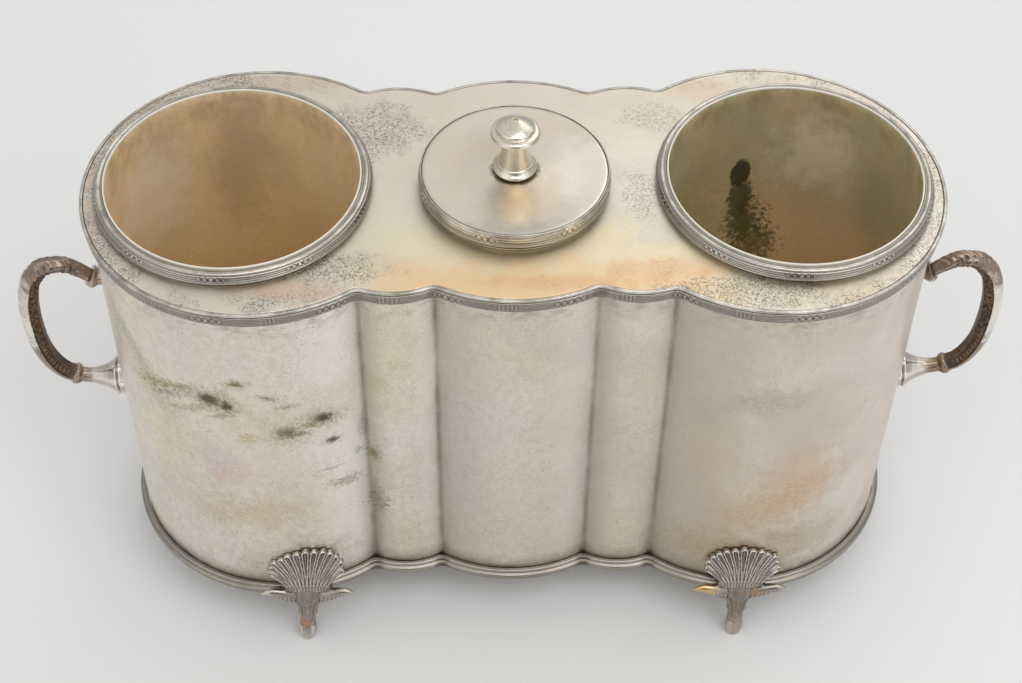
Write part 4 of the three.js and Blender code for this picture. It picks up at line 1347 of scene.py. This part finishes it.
def side_leaf(side):
    """An arched leaf that springs out from under the strap: a smooth spine over slanting ribs."""
    rows = np.array(
        [
            # x, y, z, half depth, half height
            (6, -79.6, 30.6, 3.2, 3.9), (9.5, -80.3, 31.6, 3.1, 3.7), (12.5, -80.8, 33.0, 2.7, 3.1),
            (15.5, -81.1, 34.3, 2.3, 2.4), (18.5, -81.3, 35.1, 1.8, 1.8), (21, -81.5, 35.2, 1.2, 1.2),
            (23.0, -81.6, 34.6, 0.45, 0.5),
        ]
    )
    made = spline(rows, 130)
    theta = np.linspace(0, 2 * math.pi, 72, endpoint=False)
    x, y, z, depth, high = (made[:, k][:, None] for k in range(5))
    below = smoothstep(0.55, -0.1, np.sin(theta))
    ribs = 0.15 * (np.abs(np.sin(math.pi * (x / 2.0 - 0.45 * np.sin(theta)))) ** 0.7 - 0.6)
    spine = 0.35 * np.exp(-(((theta - 0.25 * math.pi - math.pi) / 0.35) ** 2))
    size = 1 + ribs * below
    fade = smoothstep(23, 17, x)
    points = np.stack(
        [
            np.broadcast_to(x, (len(made), len(theta))) * side,
            y + depth * np.cos(theta) * size - spine * fade * below,
            z + high * np.sin(theta) * size + 0.5 * fade * (np.sin(theta) > 0) * np.sin(theta),
        ],
        -1,
    )
    return points.reshape(-1, 3), tube_faces(len(made), len(theta))


VOXEL = 0.34
# What the feet keep clear of: how far the base moulding reaches under and over the base plate's
# underside, and how far out of the wall's line
CLEAR_UNDER = 2.1
CLEAR_OVER = 4.9
CLEAR_OUT = 3.9


def fused_foot():
    """A foot's five parts fused into one casting."""
    points, faces, start = [], [], 0
    for part_points, part_faces in (fan(), strap(), leg(), side_leaf(1), side_leaf(-1)):
        points.append(part_points)
        faces += [f + start for f in facing_outwards(part_points, part_faces)]
        start += len(part_points)
    joined = new_mesh("foot_blank", np.concatenate(points), faces)
    blank = bpy.data.objects.new("foot_blank", joined)
    bpy.context.scene.collection.objects.link(blank)
    remesh = blank.modifiers.new("remesh", "REMESH")
    remesh.mode = "VOXEL"
    remesh.voxel_size = VOXEL * MM
    graph = bpy.context.evaluated_depsgraph_get()
    fused = bpy.data.meshes.new_from_object(blank.evaluated_get(graph), depsgraph=graph)
    bpy.data.objects.remove(blank)
    return fused


def fitted(points, side):
    """A foot's points, leaning as that side's feet do and fitted to the lobe that they stand under."""
    p = points.copy()
    at_floor, at_strap = FOOT_LEAN[side]
    lean = at_floor + (at_strap - at_floor) * np.minimum(p[:, 2] / 40, 1)
    p[:, 0] += math.copysign(1, FOOT_X[side]) * lean
    axis = END_X - abs(FOOT_X[side])
    # The shell bends back round the lobe
    curve = END_R - np.sqrt(END_R**2 - (p[:, 0] - axis) ** 2)
    p[:, 1] += 0.85 * smoothstep(STRAP[1], 58, p[:, 2]) * curve
    # Keep clear of the wall, and of the base moulding round its foot
    off = p[:, 0] - axis + 1j * p[:, 1]
    above = p[:, 2] > BASE_UNDER - CLEAR_UNDER
    by_moulding = above & (p[:, 2] < BASE_UNDER + CLEAR_OVER)
    keep_out = np.where(by_moulding, END_R + CLEAR_OUT, np.where(above, END_R + SOLDER, 0))
    off *= np.maximum(keep_out / np.abs(off), 1)
    return np.stack([off.real + axis, off.imag, np.maximum(p[:, 2], 0)], 1)


def build_feet():
    fused = fused_foot()
    rest = vectors(fused.vertices, "co") / MM
    for side, x in FOOT_X.items():
        for place, facing in (("front", 1), ("back", -1)):
            outward = 1 if x > 0 else -1
            placed = fitted(rest, side) * (outward, facing, 1) + (x, 0, 0)
            mesh = fused.copy()
            mesh.vertices.foreach_set("co", (placed * MM).ravel())
            if outward * facing < 0:
                mesh.flip_normals()
            mesh.update()
            name = f"{place}_{side}_foot"
            dress(name, mesh, CASTING, "body", "casting", [f"foot_{place}_{side}"], 0, cavity=6)


build_wall()
build_top()
build_top_band()
build_base_moulding()
WELL_LEFT = paint_well(
    "left_well_tarnish", 71, (0.92, 0.71, 0.42), (0.76, 0.62, 0.41),
    [
        ((-168, 30, 196), (16, 40, 26), 1.3, 0.5, 12, 0.65, (0.92, 0.86, 0.70)),
        ((-90, 46, 196), (16, 30, 30), 1.3, 0.5, 12, 0.25, (0.82, 0.74, 0.56)),
        ((-128, 56, 196), (14, 20, 34), 1.3, 0.5, 12, 0.5, (0.50, 0.37, 0.22)),
    ],
)
WELL_RIGHT = paint_well(
    "right_well_tarnish", 81, (0.60, 0.47, 0.26), (0.50, 0.46, 0.28),
    [
        ((111, 54, 190), (5, 12, 9), 0.3, 0.12, 3, 0.95, (0.05, 0.05, 0.025)),
        ((112, 55, 174), (6, 12, 14), 0.5, 0.35, 3, 0.9, (0.07, 0.065, 0.03)),
        ((116, 55, 156), (9, 12, 14), 0.8, 0.8, 2.2, 0.9, (0.10, 0.095, 0.035)),
        ((121, 56, 141), (11, 12, 12), 0.9, 0.8, 2.2, 0.8, (0.14, 0.13, 0.05)),
        ((100, 48, 150), (10, 14, 26), 1.4, 0.5, 7, 0.4, (0.40, 0.42, 0.24)),
        ((80, 40, 168), (16, 24, 34), 1.4, 0.5, 7, 0.45, (0.30, 0.32, 0.15)),
        ((144, 46, 204), (18, 30, 20), 1.4, 0.5, 9, 0.6, (0.92, 0.85, 0.70)),
        ((172, 24, 196), (10, 26, 26), 1.4, 0.5, 9, 0.5, (0.38, 0.37, 0.24)),
    ],
)
build_well("left", -WELL_X, WELL_LEFT)
build_well("right", WELL_X, WELL_RIGHT)
build_rim("left", -WELL_X)
build_rim("right", WELL_X)
build_collar()
build_lid()
build_handles()
build_feet()

for node, material in {"base_plate": INNER, "knob_stud": BRASS, "knob_nut": BRASS}.items():
    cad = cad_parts[node]
    cad.data.materials.clear()
    cad.data.materials.append(material)


# ---- Floor, light and camera ----
def build_floor():
    mesh = bpy.data.meshes.new("floor")
    half = 4.0
    corners = [(-half, -half, 0), (half, -half, 0), (half, half, 0), (-half, half, 0)]
    mesh.from_pydata(corners, [], [(0, 1, 2, 3)])
    floor = bpy.data.objects.new("floor", mesh)
    bpy.context.scene.collection.objects.link(floor)
    mesh.materials.append(Paint("pale_floor", (0.81, 0.815, 0.82), 0.0).done(0.9))


def area_light(name, place, aim, size, power):
    lamp = bpy.data.lights.new(name, "AREA")
    lamp.shape = "RECTANGLE"
    lamp.size, lamp.size_y = size
    lamp.energy = power
    light = bpy.data.objects.new(name, lamp)
    light.location = place
    light.rotation_euler = (Vector(aim) - Vector(place)).to_track_quat("-Z", "Y").to_euler()
    bpy.context.scene.collection.objects.link(light)


def build_light():
    """A pale dome, brightest overhead and to the front's two sides, and darker straight in front."""
    world = bpy.data.worlds.new("studio")
    world.use_nodes = True
    dome = Nodes(world.node_tree)
    x, y, z = dome.node("SeparateXYZ", (dome.node("TexCoord").outputs["Generated"],)).outputs
    off_middle = dome.math("ABSOLUTE", x)
    in_front = dome.smooth(y, -0.05, -0.55)
    straight = dome.times(dome.smooth(off_middle, 0.34, 0.10), in_front, 0.75)
    flank = dome.times(dome.smooth(off_middle, 0.30, 0.62), in_front, 0.55)
    strength = dome.times(dome.smooth(z, -0.1, 0.75, 0.44, 0.74), dome.math("SUBTRACT", 1.0, straight))
    background = dome.nodes["Background"].inputs
    dome.put(background["Strength"], dome.plus(strength, flank))
    dome.put(background["Color"], (1.0, 0.99, 0.975))
    bpy.context.scene.world = world
    area_light("overhead", (1.0, 1.2, 2.0), (0, 0, 0.15), (2.0, 1.4), 7)
    area_light("front_box", (0.35, -1.1, 2.1), (0, 0, 0.1), (2.2, 1.2), 17)


def build_camera():
    """High in front, looking down at the top and the front, with a slight tilt of the horizon."""
    azimuth, elevation, roll = (math.radians(a) for a in (-1.667, 48.727, 0.835))
    place = (-0.01843, -0.61313, 0.82885)
    camera = bpy.data.cameras.new("camera")
    camera.sensor_width = 36
    camera.lens = 67.08
    camera.clip_start = 0.05
    body = bpy.data.objects.new("camera", camera)
    turn = Matrix.Rotation(azimuth, 4, "Z") @ Matrix.Rotation(math.pi / 2 - elevation, 4, "X")
    body.matrix_world = Matrix.Translation(place) @ turn @ Matrix.Rotation(roll, 4, "Z")
    bpy.context.scene.collection.objects.link(body)
    bpy.context.scene.camera = body


build_floor()
build_light()
build_camera()
bpy.context.scene.view_settings.view_transform = "Standard"
